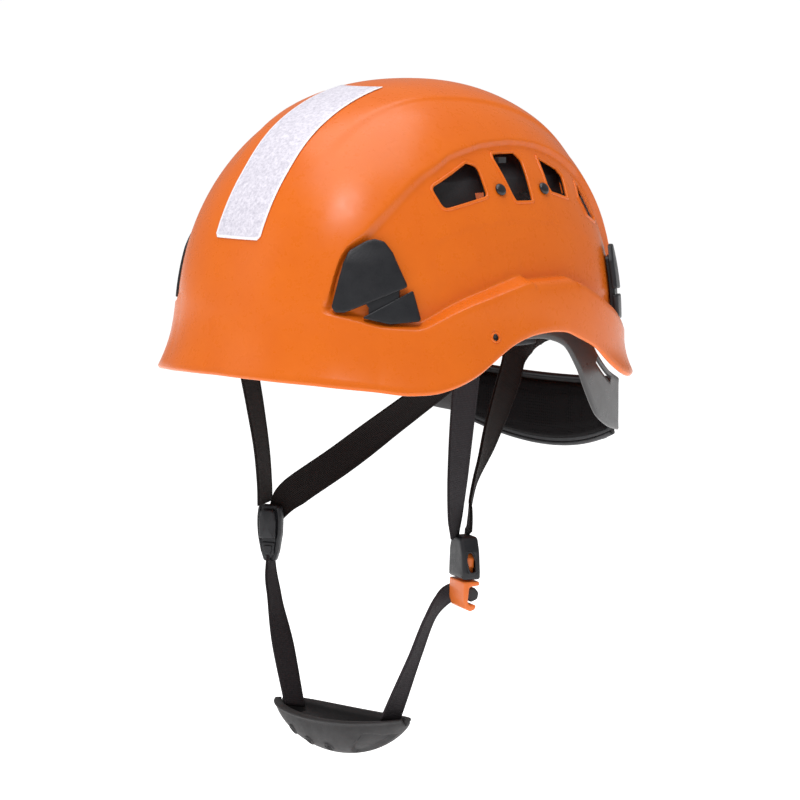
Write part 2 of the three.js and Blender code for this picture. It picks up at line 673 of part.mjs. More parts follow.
function makeKnob() {
  const profile = [[0, 1.2], [3, 1.2], [3, 0], [KNOB.radius - 3, 0], [KNOB.radius, 1.5],
    [KNOB.radius, 9], [KNOB.radius - 2, 11], [0, 11]];
  const axis = new THREE.Vector3(0, 1, 0);
  let body = solid(turned(profile, 24, axis, [0, KNOB.y + 2.6, KNOB.z]));
  for (let k = 0; k < 12; k += 1) {
    const notch = turned([[0, -2], [2, -2], [2, 14], [0, 14]], 8, axis,
      [KNOB.radius + 0.6, KNOB.y + 2.6, 0]);
    notch.rotateY((k / 12) * 2 * Math.PI).translate(0, 0, KNOB.z);
    body = body.subtract(solid(notch));
  }
  add("nape_knob", geometryOf(body), BLACK, 0.5);
}

// The cover's outline about the knob's axis, in (X, Z).
const COVER = [[-46, 9], [-44, 13], [-41, 14], [41, 14], [44, 13], [46, 9], [42, -9], [39, -13],
  [36, -14], [-36, -14], [-39, -13], [-42, -9]];

function makeNapeCradle() {
  const columns = 14;
  const frame = plate(columns, 1, cradleSheet(0, 0), cradleSheet(-2, 0));
  add("nape_frame", frame, BLACK, 0.5);
  const pad = plate(columns, 1, cradleSheet(-2.4, 4), cradleSheet(-7, 6));
  add("nape_pad", pad, WEB, 0.95);
  const cover = solid(new THREE.ExtrudeGeometry(outline(COVER),
    { depth: KNOB.y + 2 - RACK.y0 + 0.9, bevelEnabled: false }).rotateX(Math.PI / 2)
    .translate(0, KNOB.y + 2, KNOB.z));
  const hollow = solid(boxAt(-47, 47, RACK.y0 - 2, RACK.y0 + RACK.thick + 0.6, KNOB.z - 12, KNOB.z + 12));
  const bore = solid(turned([[0, 0], [3, 0], [3, 20], [0, 20]], 22, new THREE.Vector3(0, 1, 0),
    [0, RACK.y0, KNOB.z]));
  add("nape_cover", geometryOf(cover.subtract(hollow).subtract(bore)), BLACK, 0.5);
}

// ---- chin strap ----
const BUCKLE_TURN = radians(BUCKLE.turn);

// Places a shape drawn about the buckle's upright centre line, width along X.
function atBuckle(geometry, place = BUCKLE) {
  return geometry.rotateZ(BUCKLE_TURN).translate(place.x, place.y, 0);
}

// The wearer's left rear strap from the nape to above the buckle.
const REAR_RUN = [
  { at: [10, 104, -14.5], wide: [-0.92, 0.1, -0.3] }, { at: [9.2, 91, -14.8], wide: [-0.4, 0.6, -0.7] },
  { at: [10.5, 76, -18.6], wide: [0.15, 0.7, -0.7] }, { at: [19.1, 61.7, -30.9], wide: [0.15, 0.68, -0.72] },
  { at: [38.3, 27.5, -58.4], wide: [-0.14, 0.58, -0.81] },
  { at: [52.6, 1.7, -79.1], wide: [-0.49, 0.37, -0.79] },
  { at: [66.7, -17.3, -95], wide: [-0.46, 0.38, -0.8] },
];

const STRAPS = {
  front_strap_left: [
    { at: [88, -38, 5], wide: [0.2, 0.98, 0] }, { at: [85, -38, -22], wide: [0.14, 0.99, 0] },
    { at: [81.1, -37.5, -50], wide: [0, 1, 0] }, { at: [77.6, -36.5, -74], wide: [-0.16, 0.99, 0] },
    { at: [74.4, -35, -94], wide: [-0.37, 0.93, 0] },
    { at: [73.3, -34.3, -104.2], wide: [-0.5, 0.87, 0], share: 0.7 },
  ],
  front_strap_right: [
    { at: [-88, -38, 5], wide: [-0.14, 0.99, 0] }, { at: [-85, -38, -22], wide: [-0.22, 0.97, 0] },
    { at: [-79.7, -37, -48], wide: [-0.29, 0.96, 0] }, { at: [-76.6, -35, -72], wide: [-0.36, 0.93, 0] },
    { at: [-77.2, -32.4, -92], wide: [-0.38, 0.92, 0] },
    { at: [-77.6, -31.8, -102.5], wide: [-0.38, 0.92, 0] },
  ],
  rear_strap_left: [
    ...REAR_RUN,
    { at: [71.8, -22.4, -98], wide: [-0.6, 0.3, -0.74], share: 0.7 },
    { at: [75.6, -26.6, -102], wide: [-0.8, 0.36, -0.3], share: 0.4 },
  ],
  rear_strap_right: [
    ...REAR_RUN.map(({ at, wide }) => ({ at: [-at[0], at[1], at[2]], wide: [-wide[0], wide[1], wide[2]] })),
    { at: [-71.8, -21.6, -100.6], wide: [0.6, 0.45, -0.65], share: 0.9 },
    { at: [-75.9, -25.1, -109], wide: [0.9135, 0.4067, 0], share: 0.6 },
  ],
  rear_strap_centre: [
    { at: [0, 112, -9.5], wide: [1, 0, 0] }, { at: [0, 105, -10.3], wide: [1, 0, 0] },
    { at: [0, 98, -12], wide: [1, 0, 0] },
  ],
};

function makeUpperStraps() {
  for (const side of [1, -1]) {
    const word = side > 0 ? "left" : "right";
    for (const name of [`front_strap_${word}`, `rear_strap_${word}`]) {
      add(name, strap(STRAPS[name], 20), WEB, 0.9);
    }
    const block = boxAt(89, 93.2, -47.5, -28.5, 5.4, 12);
    add(`front_strap_anchor_${word}`, side > 0 ? block : mirrored(mergeVertices(cleaned(block))), BLACK);
  }
  add("rear_strap_centre", strap(STRAPS.rear_strap_centre, 8), WEB, 0.9);
  add("rear_strap_anchor", boxAt(-10, 10, 110, 117, -7.8, 1), BLACK);
}

const CAVITY = { half: 9.3, thick: 3.2, roof: -109 };

function makeBuckle() {
  const half = BUCKLE.wide / 2;
  const block = solid(atBuckle(boxAt(-half, half, -BUCKLE.thick / 2, BUCKLE.thick / 2,
    BUCKLE.bottom, BUCKLE.top)));
  const cavity = solid(atBuckle(boxAt(-CAVITY.half, CAVITY.half, -CAVITY.thick, CAVITY.thick,
    BUCKLE.bottom - 5, CAVITY.roof)));
  const windows = solid(atBuckle(boxAt(-half - 1, half + 1, -2.6, 2.6, -124, -113)));
  add("buckle_housing", geometryOf(block.subtract(cavity).subtract(windows)), BLACK, 0.5);

  const tongue = solid(atBuckle(boxAt(-2.4, 2.4, -2.2, 2.2, -128.5, -112)));
  const base = solid(atBuckle(boxAt(-11, 11, -3.6, 3.6, -144, -128)));
  const opening = solid(atBuckle(boxAt(-8, 8, -5, 5, -140.5, -131)));
  add("buckle_plug", geometryOf(tongue.add(base.subtract(opening))), ORANGE, 0.5);
  const prong = (from, to) => atBuckle(boxAt(from, to, -2.2, 2.2, -127.7, -113.5));
  add("buckle_prong_outer", prong(3.9, 6.9), ORANGE, 0.5);
  add("buckle_prong_inner", prong(-6.9, -3.9), ORANGE, 0.5);
  add("webbing_bar", atBuckle(boxAt(-7.6, 7.6, -3.2, 3.2, -138.5, -133.5)), BLACK, 0.5);
}

function makeSlider() {
  const turnBack = (geometry) => geometry.rotateZ(-BUCKLE_TURN).translate(SLIDER.x, SLIDER.y, 0);
  const body = turnBack(new THREE.ExtrudeGeometry(outline([[-6.4, -104.6], [6.4, -104.6],
    [7.3, -110], [6.4, -125], [4.6, -134], [-4.6, -134], [-6.4, -125], [-7.3, -110]]),
  { depth: 4.6, bevelEnabled: false }).applyMatrix4(new THREE.Matrix4().makeBasis(
    new THREE.Vector3(1, 0, 0), new THREE.Vector3(0, 0, 1), new THREE.Vector3(0, -1, 0)))
    .translate(0, 2.3, 0));
  add("strap_slider", mergeVertices(cleaned(body)), BLACK, 0.5);
  add("strap_slider_gate", turnBack(boxAt(-5, 5, -6, -2.7, -127, -111)), BLACK, 0.5);
}

// ---- chin cup and lower straps ----
const CUP = { half: 49.3, y: -47, rim: -206, drop: 7, keel: -226.4, halfDepth: 15, thick: 2.2 };

function cupSurface(inset) {
  return (u, v) => {
    const along01 = THREE.MathUtils.lerp(-1, 1, u);
    const x = (CUP.half - inset) * along01;
    const swell = Math.sqrt(Math.max(1 - along01 * along01, 0));
    const across = THREE.MathUtils.lerp(-1, 1, v);
    const rim = CUP.rim - CUP.drop * (1 - along01 * along01) * 0.5;
    const depth = (rim - CUP.keel) * (1 - along01 * along01);
    const y = CUP.y + (CUP.halfDepth * swell ** 1.4 + 2.6 - inset) * Math.sin(across * Math.PI / 2);
    const z = rim - Math.max(depth + 2 - inset, 0.5) * Math.cos(across * Math.PI / 2) ** 0.8;
    return new THREE.Vector3(x, y, z);
  };
}

function makeChin() {
  add("chin_cup", plate(16, 6, cupSurface(0), cupSurface(CUP.thick)), GREY, 0.8);
  const left = [
    { at: [62.6, -25.8, -136.8], wide: [-0.3, -0.68, 0.66], share: 0.7 },
    { at: [58, -28, -141], wide: [-0.1, -0.85, 0.4], share: 0.85 },
    { at: [52, -31.5, -151], wide: [0.1, -0.95, 0.1] }, { at: [46, -37, -172], wide: [0.2, -0.97, -0.05] },
    { at: [37, -47.4, -206.5], wide: [-0.1, -1, 0], share: 0.9 },
  ];
  const right = [
    { at: [-75.5, -29.6, -135.7], wide: [-0.15, 0.99, 0], share: 0.8 },
    { at: [-74.4, -30.2, -141], wide: [0, 1, 0], share: 0.9 }, { at: [-69, -33, -152], wide: [0.1, 1, 0] },
    { at: [-53, -40.5, -180], wide: [0, 1, 0] }, { at: [-37, -47.4, -207], wide: [0, 1, 0], share: 0.9 },
  ];
  add("lower_strap_left", strap(left, 10, 15), WEB, 0.9);
  add("lower_strap_right", strap(right, 10, 15), WEB, 0.9);
}

makeShell();
makeClips();
makeStrip();
makeShutters();
makePins();
makeCradle();
makeHeadband();
makeArms();
makeNapeCradle();
makeRacks();
makePinion();
makeKnob();
makeUpperStraps();
makeBuckle();
makeSlider();
makeChin();

export default group;
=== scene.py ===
"""Arborist climbing helmet: the looks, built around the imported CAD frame."""
import json
import math

import bpy
import bmesh
import numpy as np
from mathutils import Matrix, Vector

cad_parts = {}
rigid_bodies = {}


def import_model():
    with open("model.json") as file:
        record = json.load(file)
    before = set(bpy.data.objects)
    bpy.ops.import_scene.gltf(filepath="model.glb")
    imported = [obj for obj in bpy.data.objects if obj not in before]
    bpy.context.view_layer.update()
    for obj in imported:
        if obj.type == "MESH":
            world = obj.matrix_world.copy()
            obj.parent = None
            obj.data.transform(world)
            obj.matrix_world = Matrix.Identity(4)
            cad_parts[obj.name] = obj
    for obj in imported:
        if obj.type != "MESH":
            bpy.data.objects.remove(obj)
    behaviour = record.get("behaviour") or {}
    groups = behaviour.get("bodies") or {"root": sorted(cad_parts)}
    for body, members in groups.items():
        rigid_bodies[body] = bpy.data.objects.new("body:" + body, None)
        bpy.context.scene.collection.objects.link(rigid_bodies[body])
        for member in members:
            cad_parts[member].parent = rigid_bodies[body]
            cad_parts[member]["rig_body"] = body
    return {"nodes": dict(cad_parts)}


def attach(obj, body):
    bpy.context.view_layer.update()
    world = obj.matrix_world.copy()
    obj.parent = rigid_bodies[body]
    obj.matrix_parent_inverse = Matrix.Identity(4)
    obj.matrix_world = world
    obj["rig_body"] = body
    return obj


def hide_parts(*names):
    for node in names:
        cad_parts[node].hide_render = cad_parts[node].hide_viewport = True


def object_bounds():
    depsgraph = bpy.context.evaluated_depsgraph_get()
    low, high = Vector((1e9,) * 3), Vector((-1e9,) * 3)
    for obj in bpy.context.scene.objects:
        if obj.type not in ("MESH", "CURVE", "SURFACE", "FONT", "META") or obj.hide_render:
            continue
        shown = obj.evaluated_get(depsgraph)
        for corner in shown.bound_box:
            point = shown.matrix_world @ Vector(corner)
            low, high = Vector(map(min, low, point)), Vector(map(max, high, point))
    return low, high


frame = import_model()
CAD_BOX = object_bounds()
NODES = frame["nodes"]
MM = 0.001
UP = np.array([0.0, 0.0, 1.0])
SIDES = ((1, "left"), (-1, "right"))

# ---------------------------------------------------------------- camera and light
AZIMUTH, ELEVATION, DISTANCE = math.radians(46), math.radians(6.5), 2.5
FRAME_WIDTH = 0.4317
AIM_RIGHT, AIM_UP = -0.0026, -0.0414
SENSOR_WIDTH = 36
WORLD_STRENGTH, FLOOR_GLOW = 0.31, 0.73


def place_camera():
    back = Vector((math.sin(AZIMUTH) * math.cos(ELEVATION),
                   -math.cos(AZIMUTH) * math.cos(ELEVATION), math.sin(ELEVATION)))
    right = Vector((math.cos(AZIMUTH), math.sin(AZIMUTH), 0))
    up = back.cross(right)
    camera = bpy.data.objects.new("camera", bpy.data.cameras.new("camera"))
    bpy.context.scene.collection.objects.link(camera)
    camera.location = right * AIM_RIGHT + up * AIM_UP + back * DISTANCE
    camera.rotation_mode = "QUATERNION"
    camera.rotation_quaternion = (-back).to_track_quat("-Z", "Y")
    camera.data.sensor_width = SENSOR_WIDTH
    camera.data.lens = SENSOR_WIDTH * DISTANCE / FRAME_WIDTH
    camera.data.clip_end = 50
    bpy.context.scene.camera = camera


def area_light(name, place, target, size, power, colour=(1, 1, 1)):
    light = bpy.data.lights.new(name, "AREA")
    light.size = size
    light.energy = power
    light.color = colour
    lamp = bpy.data.objects.new(name, light)
    lamp.location = place
    lamp.rotation_mode = "QUATERNION"
    lamp.rotation_quaternion = (Vector(target) - Vector(place)).to_track_quat("-Z", "Y")
    bpy.context.scene.collection.objects.link(lamp)


def light_studio():
    world = bpy.data.worlds.new("studio")
    world.use_nodes = True
    background = world.node_tree.nodes["Background"]
    background.inputs["Color"].default_value = (1.0, 1.0, 1.0, 1)
    background.inputs["Strength"].default_value = WORLD_STRENGTH
    bpy.context.scene.world = world
    area_light("key", (0.62, -1.0, 1.5), (0, 0, 0.05), size=0.45, power=9.5, colour=(1.0, 0.97, 1.0))
    area_light("front", (-0.9, -1.5, 0.7), (0, 0, 0), size=0.9, power=1.6)
    area_light("top", (-0.1, -0.15, 1.7), (0, 0, 0), size=1.6, power=23)
    bpy.context.scene.view_settings.view_transform = "Standard"


# Room under the helmet for the chin strap to swing when it is let go.
SWING_ROOM = 0.045


def lay_floor():
    low = CAD_BOX[0].z - SWING_ROOM
    floor = MeshMaker()
    turns = full_turn(64)
    ring = np.stack([np.cos(turns), np.sin(turns), 0 * turns], 1)
    floor.rings([(ring * reach + UP * low) / MM for reach in (24, 3, 0.5, 0.01)], caps=(1,))
    paper = material_plain("floor_paper", (0.93, 0.93, 0.93), 0.9)
    tune(paper.node_tree.nodes["Principled BSDF"], Emission_Color=(1, 1, 1, 1),
         Emission_Strength=FLOOR_GLOW)
    piece = floor.make("floor", paper, smooth=False)


# ---------------------------------------------------------------- materials
def shader(name):
    material = bpy.data.materials.new(name)
    material.use_nodes = True
    tree = material.node_tree
    return material, tree, tree.nodes["Principled BSDF"]


def link(tree, a, b):
    tree.links.new(a, b)


def tune(made, **inputs):
    """Sets inputs by name, with an underscore for each space."""
    for key, value in inputs.items():
        made.inputs[key.replace("_", " ")].default_value = value
    return made


def node(tree, kind, **inputs):
    return tune(tree.nodes.new(kind), **inputs)


def calculate(tree, operation, *values):
    """A math node. Each value is a number or a socket, and None leaves that input alone."""
    made = tree.nodes.new("ShaderNodeMath")
    made.operation = operation
    for socket, value in zip(made.inputs, values):
        if isinstance(value, float):
            socket.default_value = value
        elif value is not None:
            link(tree, value, socket)
    return made.outputs[0]


def mix_colour(tree, factor, a, b):
    """Mixes two colours by a factor's socket. Each colour is three numbers or a socket."""
    made = tree.nodes.new("ShaderNodeMix")
    made.data_type = "RGBA"
    link(tree, factor, made.inputs[0])
    for socket, colour in ((made.inputs[6], a), (made.inputs[7], b)):
        if isinstance(colour, tuple):
            socket.default_value = (*colour, 1)
        else:
            link(tree, colour, socket)
    return made.outputs[2]


def ramp(tree, source, low, high, to_low=0.0, to_high=1.0):
    made = node(tree, "ShaderNodeMapRange", From_Min=low, From_Max=high, To_Min=to_low, To_Max=to_high)
    link(tree, source, made.inputs["Value"])
    return made.outputs["Result"]


def fix_to_object(tree, *textures):
    place = tree.nodes.new("ShaderNodeTexCoord").outputs["Object"]
    for texture in textures:
        link(tree, place, texture.inputs["Vector"])


def tape_coordinates(tree):
    """Distances across and along a tape, in metres."""
    coordinates = tree.nodes.new("ShaderNodeUVMap")
    coordinates.uv_map = "tape"
    split = tree.nodes.new("ShaderNodeSeparateXYZ")
    link(tree, coordinates.outputs["UV"], split.inputs[0])
    return split.outputs["X"], split.outputs["Y"]


def emboss(tree, bsdf, height, strength, distance):
    relief = node(tree, "ShaderNodeBump", Strength=strength, Distance=distance)
    link(tree, height, relief.inputs["Height"])
    link(tree, relief.outputs["Normal"], bsdf.inputs["Normal"])


def material_plain(name, colour, roughness):
    material, _, bsdf = shader(name)
    tune(bsdf, Base_Color=(*colour, 1), Roughness=roughness)
    return material


def moulded(name, colour, deep, roughness, grain, bump, specular=0.5):
    """Moulded plastic: fine spark texture, faint cloudy tint and scuffs in the gloss."""
    material, tree, bsdf = shader(name)
    cloud = node(tree, "ShaderNodeTexNoise", Scale=38.0, Detail=5.0, Roughness=0.6)
    fine = node(tree, "ShaderNodeTexNoise", Scale=float(grain), Detail=3.0, Roughness=0.55)
    scuff = node(tree, "ShaderNodeTexNoise", Scale=170.0, Detail=8.0, Roughness=0.7)
    fix_to_object(tree, cloud, fine, scuff)
    tint = mix_colour(tree, ramp(tree, cloud.outputs["Fac"], 0.3, 0.7), colour, deep)
    link(tree, tint, bsdf.inputs["Base Color"])
    link(tree, ramp(tree, scuff.outputs["Fac"], 0.35, 0.65, *roughness), bsdf.inputs["Roughness"])
    emboss(tree, bsdf, fine.outputs["Fac"], bump, 0.0003)
    tune(bsdf, Specular_IOR_Level=specular)
    return material


def webbing(name, colour, light):
    """Woven tape: warp ribs along the tape, crossed by finer weft, with fuzzy threads."""
    material, tree, bsdf = shader(name)
    across, along_tape = tape_coordinates(tree)
    pitch = 0.9

    def wave(source, step, phase=None):
        turn = calculate(tree, "MULTIPLY_ADD", source, 2 * math.pi * 1000 / step, phase)
        return calculate(tree, "SINE", turn)

    warp = wave(across, pitch)
    weft = wave(along_tape, pitch * 1.35, calculate(tree, "MULTIPLY", warp, 1.5))
    both = calculate(tree, "MULTIPLY_ADD", weft, 0.55, warp)
    fuzz = node(tree, "ShaderNodeTexNoise", Scale=900.0, Detail=4.0, Roughness=0.7)
    fix_to_object(tree, fuzz)
    height = calculate(tree, "MULTIPLY_ADD", fuzz.outputs["Fac"], 1.2, both)
    link(tree, mix_colour(tree, ramp(tree, height, -0.9, 2.1), colour, light), bsdf.inputs["Base Color"])
    emboss(tree, bsdf, height, 0.55, 0.00025)
    tune(bsdf, Roughness=0.82, Specular_IOR_Level=0.14, Sheen_Weight=0.05, Sheen_Roughness=0.5)
    return material


def cloth(name, colour, light):
    """Spacer-mesh lining cloth over foam: small holes in rows, and a brushed face."""
    material, tree, bsdf = shader(name)
    cell = 1.6
    holes = node(tree, "ShaderNodeTexVoronoi", Scale=1000 / cell, Randomness=0.25)
    fuzz = node(tree, "ShaderNodeTexNoise", Scale=1300.0, Detail=4.0)
    fix_to_object(tree, holes, fuzz)
    depth = ramp(tree, holes.outputs["Distance"], 0.12, 0.45)
    link(tree, mix_colour(tree, depth, colour, light), bsdf.inputs["Base Color"])
    emboss(tree, bsdf, calculate(tree, "MULTIPLY_ADD", fuzz.outputs["Fac"], 0.35, depth), 0.6, 0.0004)
    tune(bsdf, Roughness=0.93, Specular_IOR_Level=0.08, Sheen_Weight=0.02, Sheen_Roughness=0.5)
    return material


def reflective_film():
    """Retroreflective film: pale, with beads, grey speckle and a plain border."""
    material, tree, bsdf = shader("reflective_film")
    speckle = node(tree, "ShaderNodeTexNoise", Scale=520.0, Detail=6.0, Roughness=0.75)
    beads = node(tree, "ShaderNodeTexVoronoi", Scale=900.0, Randomness=1.0)
    fix_to_object(tree, speckle, beads)
    grey, white, border = (0.56, 0.54, 0.62), (0.9, 0.87, 0.95), (0.93, 0.92, 0.95)
    tint = mix_colour(tree, ramp(tree, speckle.outputs["Fac"], 0.36, 0.66), grey, white)
    from_edge, _ = tape_coordinates(tree)
    link(tree, mix_colour(tree, ramp(tree, from_edge, 0.0016, 0.0011), tint, border),
         bsdf.inputs["Base Color"])
    emboss(tree, bsdf, beads.outputs["Distance"], 0.25, 0.0002)
    tune(bsdf, Roughness=0.42)
    return material


ORANGE = moulded("shell_orange", (0.79, 0.160, 0.009), (0.75, 0.144, 0.008), (0.25, 0.34), 2200, 0.05, 0.36)
BLACK = moulded("textured_black", (0.009, 0.0095, 0.012), (0.014, 0.015, 0.018), (0.36, 0.52), 1100, 0.3,
                0.42)
GLOSSY = moulded("pin_black", (0.012, 0.013, 0.016), (0.018, 0.018, 0.022), (0.22, 0.34), 1600, 0.06)
PANEL = moulded("shutter_black", (0.014, 0.014, 0.016), (0.024, 0.024, 0.027), (0.5, 0.7), 900, 0.4)
GREY = moulded("arm_grey", (0.046, 0.045, 0.046), (0.058, 0.057, 0.058), (0.26, 0.36), 1500, 0.05)
ACCENT = moulded("buckle_orange", (0.83, 0.19, 0.028), (0.77, 0.16, 0.022), (0.3, 0.42), 1800, 0.06)
RUBBER = moulded("cup_rubber", (0.027, 0.026, 0.027), (0.04, 0.039, 0.04), (0.55, 0.72), 1200, 0.3)
# One black webbing in two copies: the paler, bluer copy is painted light for the tapes that face the lamps,
# and the darker, browner copy is painted shade for the rest.
TAPE = webbing("tape_black_painted_shade", (0.006, 0.005, 0.005), (0.021, 0.016, 0.015))
TAPE_PAINTED_LIT = webbing("tape_black_painted_lit", (0.011, 0.0095, 0.011), (0.038, 0.032, 0.036))
LINING = cloth("lining_black", (0.002, 0.0018, 0.002), (0.007, 0.006, 0.0065))
FILM = reflective_film()
TAPE_ROLL = moulded("rolled_tape", (0.016, 0.016, 0.018), (0.03, 0.03, 0.034), (0.5, 0.7), 700, 0.6)


# ---------------------------------------------------------------- mesh tools (millimetres)
class MeshMaker:
    """Gathers vertices and faces in millimetres, and makes one object in metres."""

    def __init__(self):
        self.points = []
        self.faces = []
        self.tape = {}

    def rings(self, rings, close=True, caps=(), loop=False, tape=None):
        """Joins rings of equal length by quads. caps: 0 and 1 close the first and last ring."""
        start, sides = len(self.points), len(rings[0])
        for j, ring in enumerate(rings):
            self.points.extend(map(tuple, ring))
            if tape is not None:
                for i in range(sides):
                    self.tape[start + j * sides + i] = tape[j][i]
        rows = len(rings) if loop else len(rings) - 1
        for j in range(rows):
            below, above = start + j * sides, start + ((j + 1) % len(rings)) * sides
            for i in range(sides if close else sides - 1):
                k = (i + 1) % sides
                self.faces.append((below + i, below + k, above + k, above + i))
        if 0 in caps:
            self.faces.append(tuple(reversed(range(start, start + sides))))
        if 1 in caps:
            last = start + (len(rings) - 1) * sides
            self.faces.append(tuple(range(last, last + sides)))
        return self

    def make(self, name, material, smooth=True, angle=None):
        mesh = bpy.data.meshes.new(name)
        mesh.from_pydata([(x * MM, y * MM, z * MM) for x, y, z in self.points], [], self.faces)
        if self.tape:
            layer = mesh.uv_layers.new(name="tape")
            for corner in mesh.loops:
                layer.data[corner.index].uv = self.tape.get(corner.vertex_index, (0, 0))
        work = bmesh.new()
        work.from_mesh(mesh)
        bmesh.ops.recalc_face_normals(work, faces=work.faces)
        work.to_mesh(mesh)
        work.free()
        piece = bpy.data.objects.new(name, mesh)
        bpy.context.scene.collection.objects.link(piece)
        mesh.materials.append(material)
        if smooth:
            mesh.shade_smooth()
        if angle:
            mesh.set_sharp_from_angle(angle=math.radians(angle))
        return piece


def seat(piece, body, slot, *nodes):
    """Rides on a body and stands for CAD nodes, which it hides. The slot argument is not used."""
    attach(piece, body)
    if nodes:
        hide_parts(*nodes)
    return piece


def full_turn(sides):
    return np.linspace(0, 2 * np.pi, sides + 1)[:-1]


def unit_rows(rows):
    return rows / np.linalg.norm(rows, axis=-1)[..., None]


def directions(turn):
    """Outward and tangent at a bearing, level with the ground."""
    return np.array([math.cos(turn), math.sin(turn), 0]), np.array([-math.sin(turn), math.cos(turn), 0])


def smooth(edge0, edge1, value):
    t = np.clip((value - edge0) / (edge1 - edge0), 0, 1)
    return t * t * (3 - 2 * t)


def lerp(a, b, t):
    return a + (b - a) * t


def rounded(corners, radius, steps=5):
    """A closed outline with its corners rounded; radius may be one number or one per corner."""
    corners = [np.array(c, float) for c in corners]
    radii = radius if hasattr(radius, "__len__") else [radius] * len(corners)
    made = []
    for i, (corner, r) in enumerate(zip(corners, radii)):
        before, after = corners[i - 1] - corner, corners[(i + 1) % len(corners)] - corner
        a, b = before / np.linalg.norm(before), after / np.linalg.norm(after)
        half = math.acos(np.clip(a @ b, -1, 1)) / 2
        reach = min(r / max(math.tan(half), 1e-3), 0.48 * np.linalg.norm(before),
                    0.48 * np.linalg.norm(after))
        start, end = corner + a * reach, corner + b * reach
        for t in np.linspace(0, 1, steps):
            made.append((1 - t) ** 2 * start + 2 * t * (1 - t) * corner + t * t * end)
    return np.array(made)


def resampled(outline, count):
    closed = np.vstack([outline, outline[:1]])
    lengths = np.concatenate([[0], np.cumsum(np.linalg.norm(np.diff(closed, axis=0), axis=1))])
    at = np.linspace(0, lengths[-1], count + 1)[:-1]
    return np.stack([np.interp(at, lengths, closed[:, k]) for k in range(closed.shape[1])], 1)


def inset_by(outline, distance):
    """The outline moved inward by a distance, along its corner normals."""
    ahead, behind = np.roll(outline, -1, 0), np.roll(outline, 1, 0)
    tangent = ahead - behind
    tangent /= np.linalg.norm(tangent, axis=1)[:, None] + 1e-12
    normal = np.stack([-tangent[:, 1], tangent[:, 0]], 1)
    area = np.sum(outline[:, 0] * ahead[:, 1] - ahead[:, 0] * outline[:, 1])
    return outline + normal * distance * np.sign(area)


def tablet(maker, outline, low, high, place, edge, rings, crown=0.0, back_edge=None):
    """A closed slab over an outline in (u, v), from height low to high, with rounded edges.
    place(u, v, h) puts it in space. crown lifts the middle of the face."""
    back_edge = edge if back_edge is None else back_edge
    centre = outline.mean(0)
    stack = []

    def ring(points, height):
        stack.append(place(points[:, 0], points[:, 1], height + 0 * points[:, 0]))

    inner_back = inset_by(outline, back_edge)
    for s in np.linspace(0.02, 1, rings):
        ring(centre + (inner_back - centre) * s, low)
    for t in np.linspace(0, 1, 4)[1:] if back_edge > 0 else []:
        turn = t * np.pi / 2
        ring(inset_by(outline, back_edge * (1 - math.sin(turn))), low + back_edge * (1 - math.cos(turn)))
    for t in np.linspace(0, 1, 5):
        turn = t * np.pi / 2
        ring(inset_by(outline, edge * (1 - math.cos(turn))), high - edge * (1 - math.sin(turn)))
    inner = inset_by(outline, edge)
    for s in np.linspace(1, 0.02, rings + 3)[1:]:
        ring(centre + (inner - centre) * s, high + crown * (1 - s * s))
    maker.rings(stack, caps=(0, 1))


def frame_place(origin, u_axis, v_axis, w_axis):
    """Puts (u, v, h) at an origin along three axes."""
    origin, u_axis, v_axis, w_axis = (np.array(a, float) for a in (origin, u_axis, v_axis, w_axis))

    def place(u, v, h):
        return origin + np.outer(u, u_axis) + np.outer(v, v_axis) + np.outer(h, w_axis)
    return place


def lathe(maker, profile, origin, axis, sides, caps=(0, 1)):
    axis = np.array(axis, float) / np.linalg.norm(axis)
    side = np.cross(axis, [0.3, 0.2, 0.93])
    side /= np.linalg.norm(side)
    other = np.cross(axis, side)
    turn = full_turn(sides)
    circle = np.outer(np.cos(turn), side) + np.outer(np.sin(turn), other)
    maker.rings([np.array(origin) + circle * max(r, 1e-3) + axis * h for r, h in profile], caps=caps)


def tube(maker, path, radius, sides, closed=True, flat=1.0, out=None):
    """A bead along a path; out gives the flat direction at each point."""
    path = np.array(path)
    ahead = np.roll(path, -1, 0) - np.roll(path, 1, 0) if closed else np.gradient(path, axis=0)
    tangent = unit_rows(ahead)
    rise = np.array(out) if out is not None else np.tile(UP, (len(path), 1))
    rise = unit_rows(rise - tangent * np.sum(rise * tangent, 1)[:, None])
    across = np.cross(tangent, rise)
    turn = full_turn(sides)
    rings = [path + radius * (np.cos(t) * across + flat * np.sin(t) * rise) for t in turn]
    rings = [np.array([ring[i] for ring in rings]) for i in range(len(path))]
    maker.rings(rings, loop=closed, caps=() if closed else (0, 1))


def curve_points(points, count):
    """A centripetal Catmull-Rom curve through points, sampled evenly in its parameter."""
    p = [np.array(q, float) for q in points]
    p = [2 * p[0] - p[1], *p, 2 * p[-1] - p[-2]]
    made = []
    for s in np.linspace(0, len(p) - 3, count):
        i = min(int(s), len(p) - 4)
        a, b, c, d = p[i:i + 4]
        w = s - i
        dt0, dt1, dt2 = (max(np.linalg.norm(q - r) ** 0.5, 1e-4) for q, r in ((b, a), (c, b), (d, c)))
        t1 = ((b - a) / dt0 - (c - a) / (dt0 + dt1) + (c - b) / dt1) * dt1
        t2 = ((c - b) / dt1 - (d - b) / (dt1 + dt2) + (d - c) / dt2) * dt1
        made.append(b + t1 * w + (-3 * b + 3 * c - 2 * t1 - t2) * w ** 2 + (2 * b - 2 * c + t1 + t2)
                    * w ** 3)
    return np.array(made)


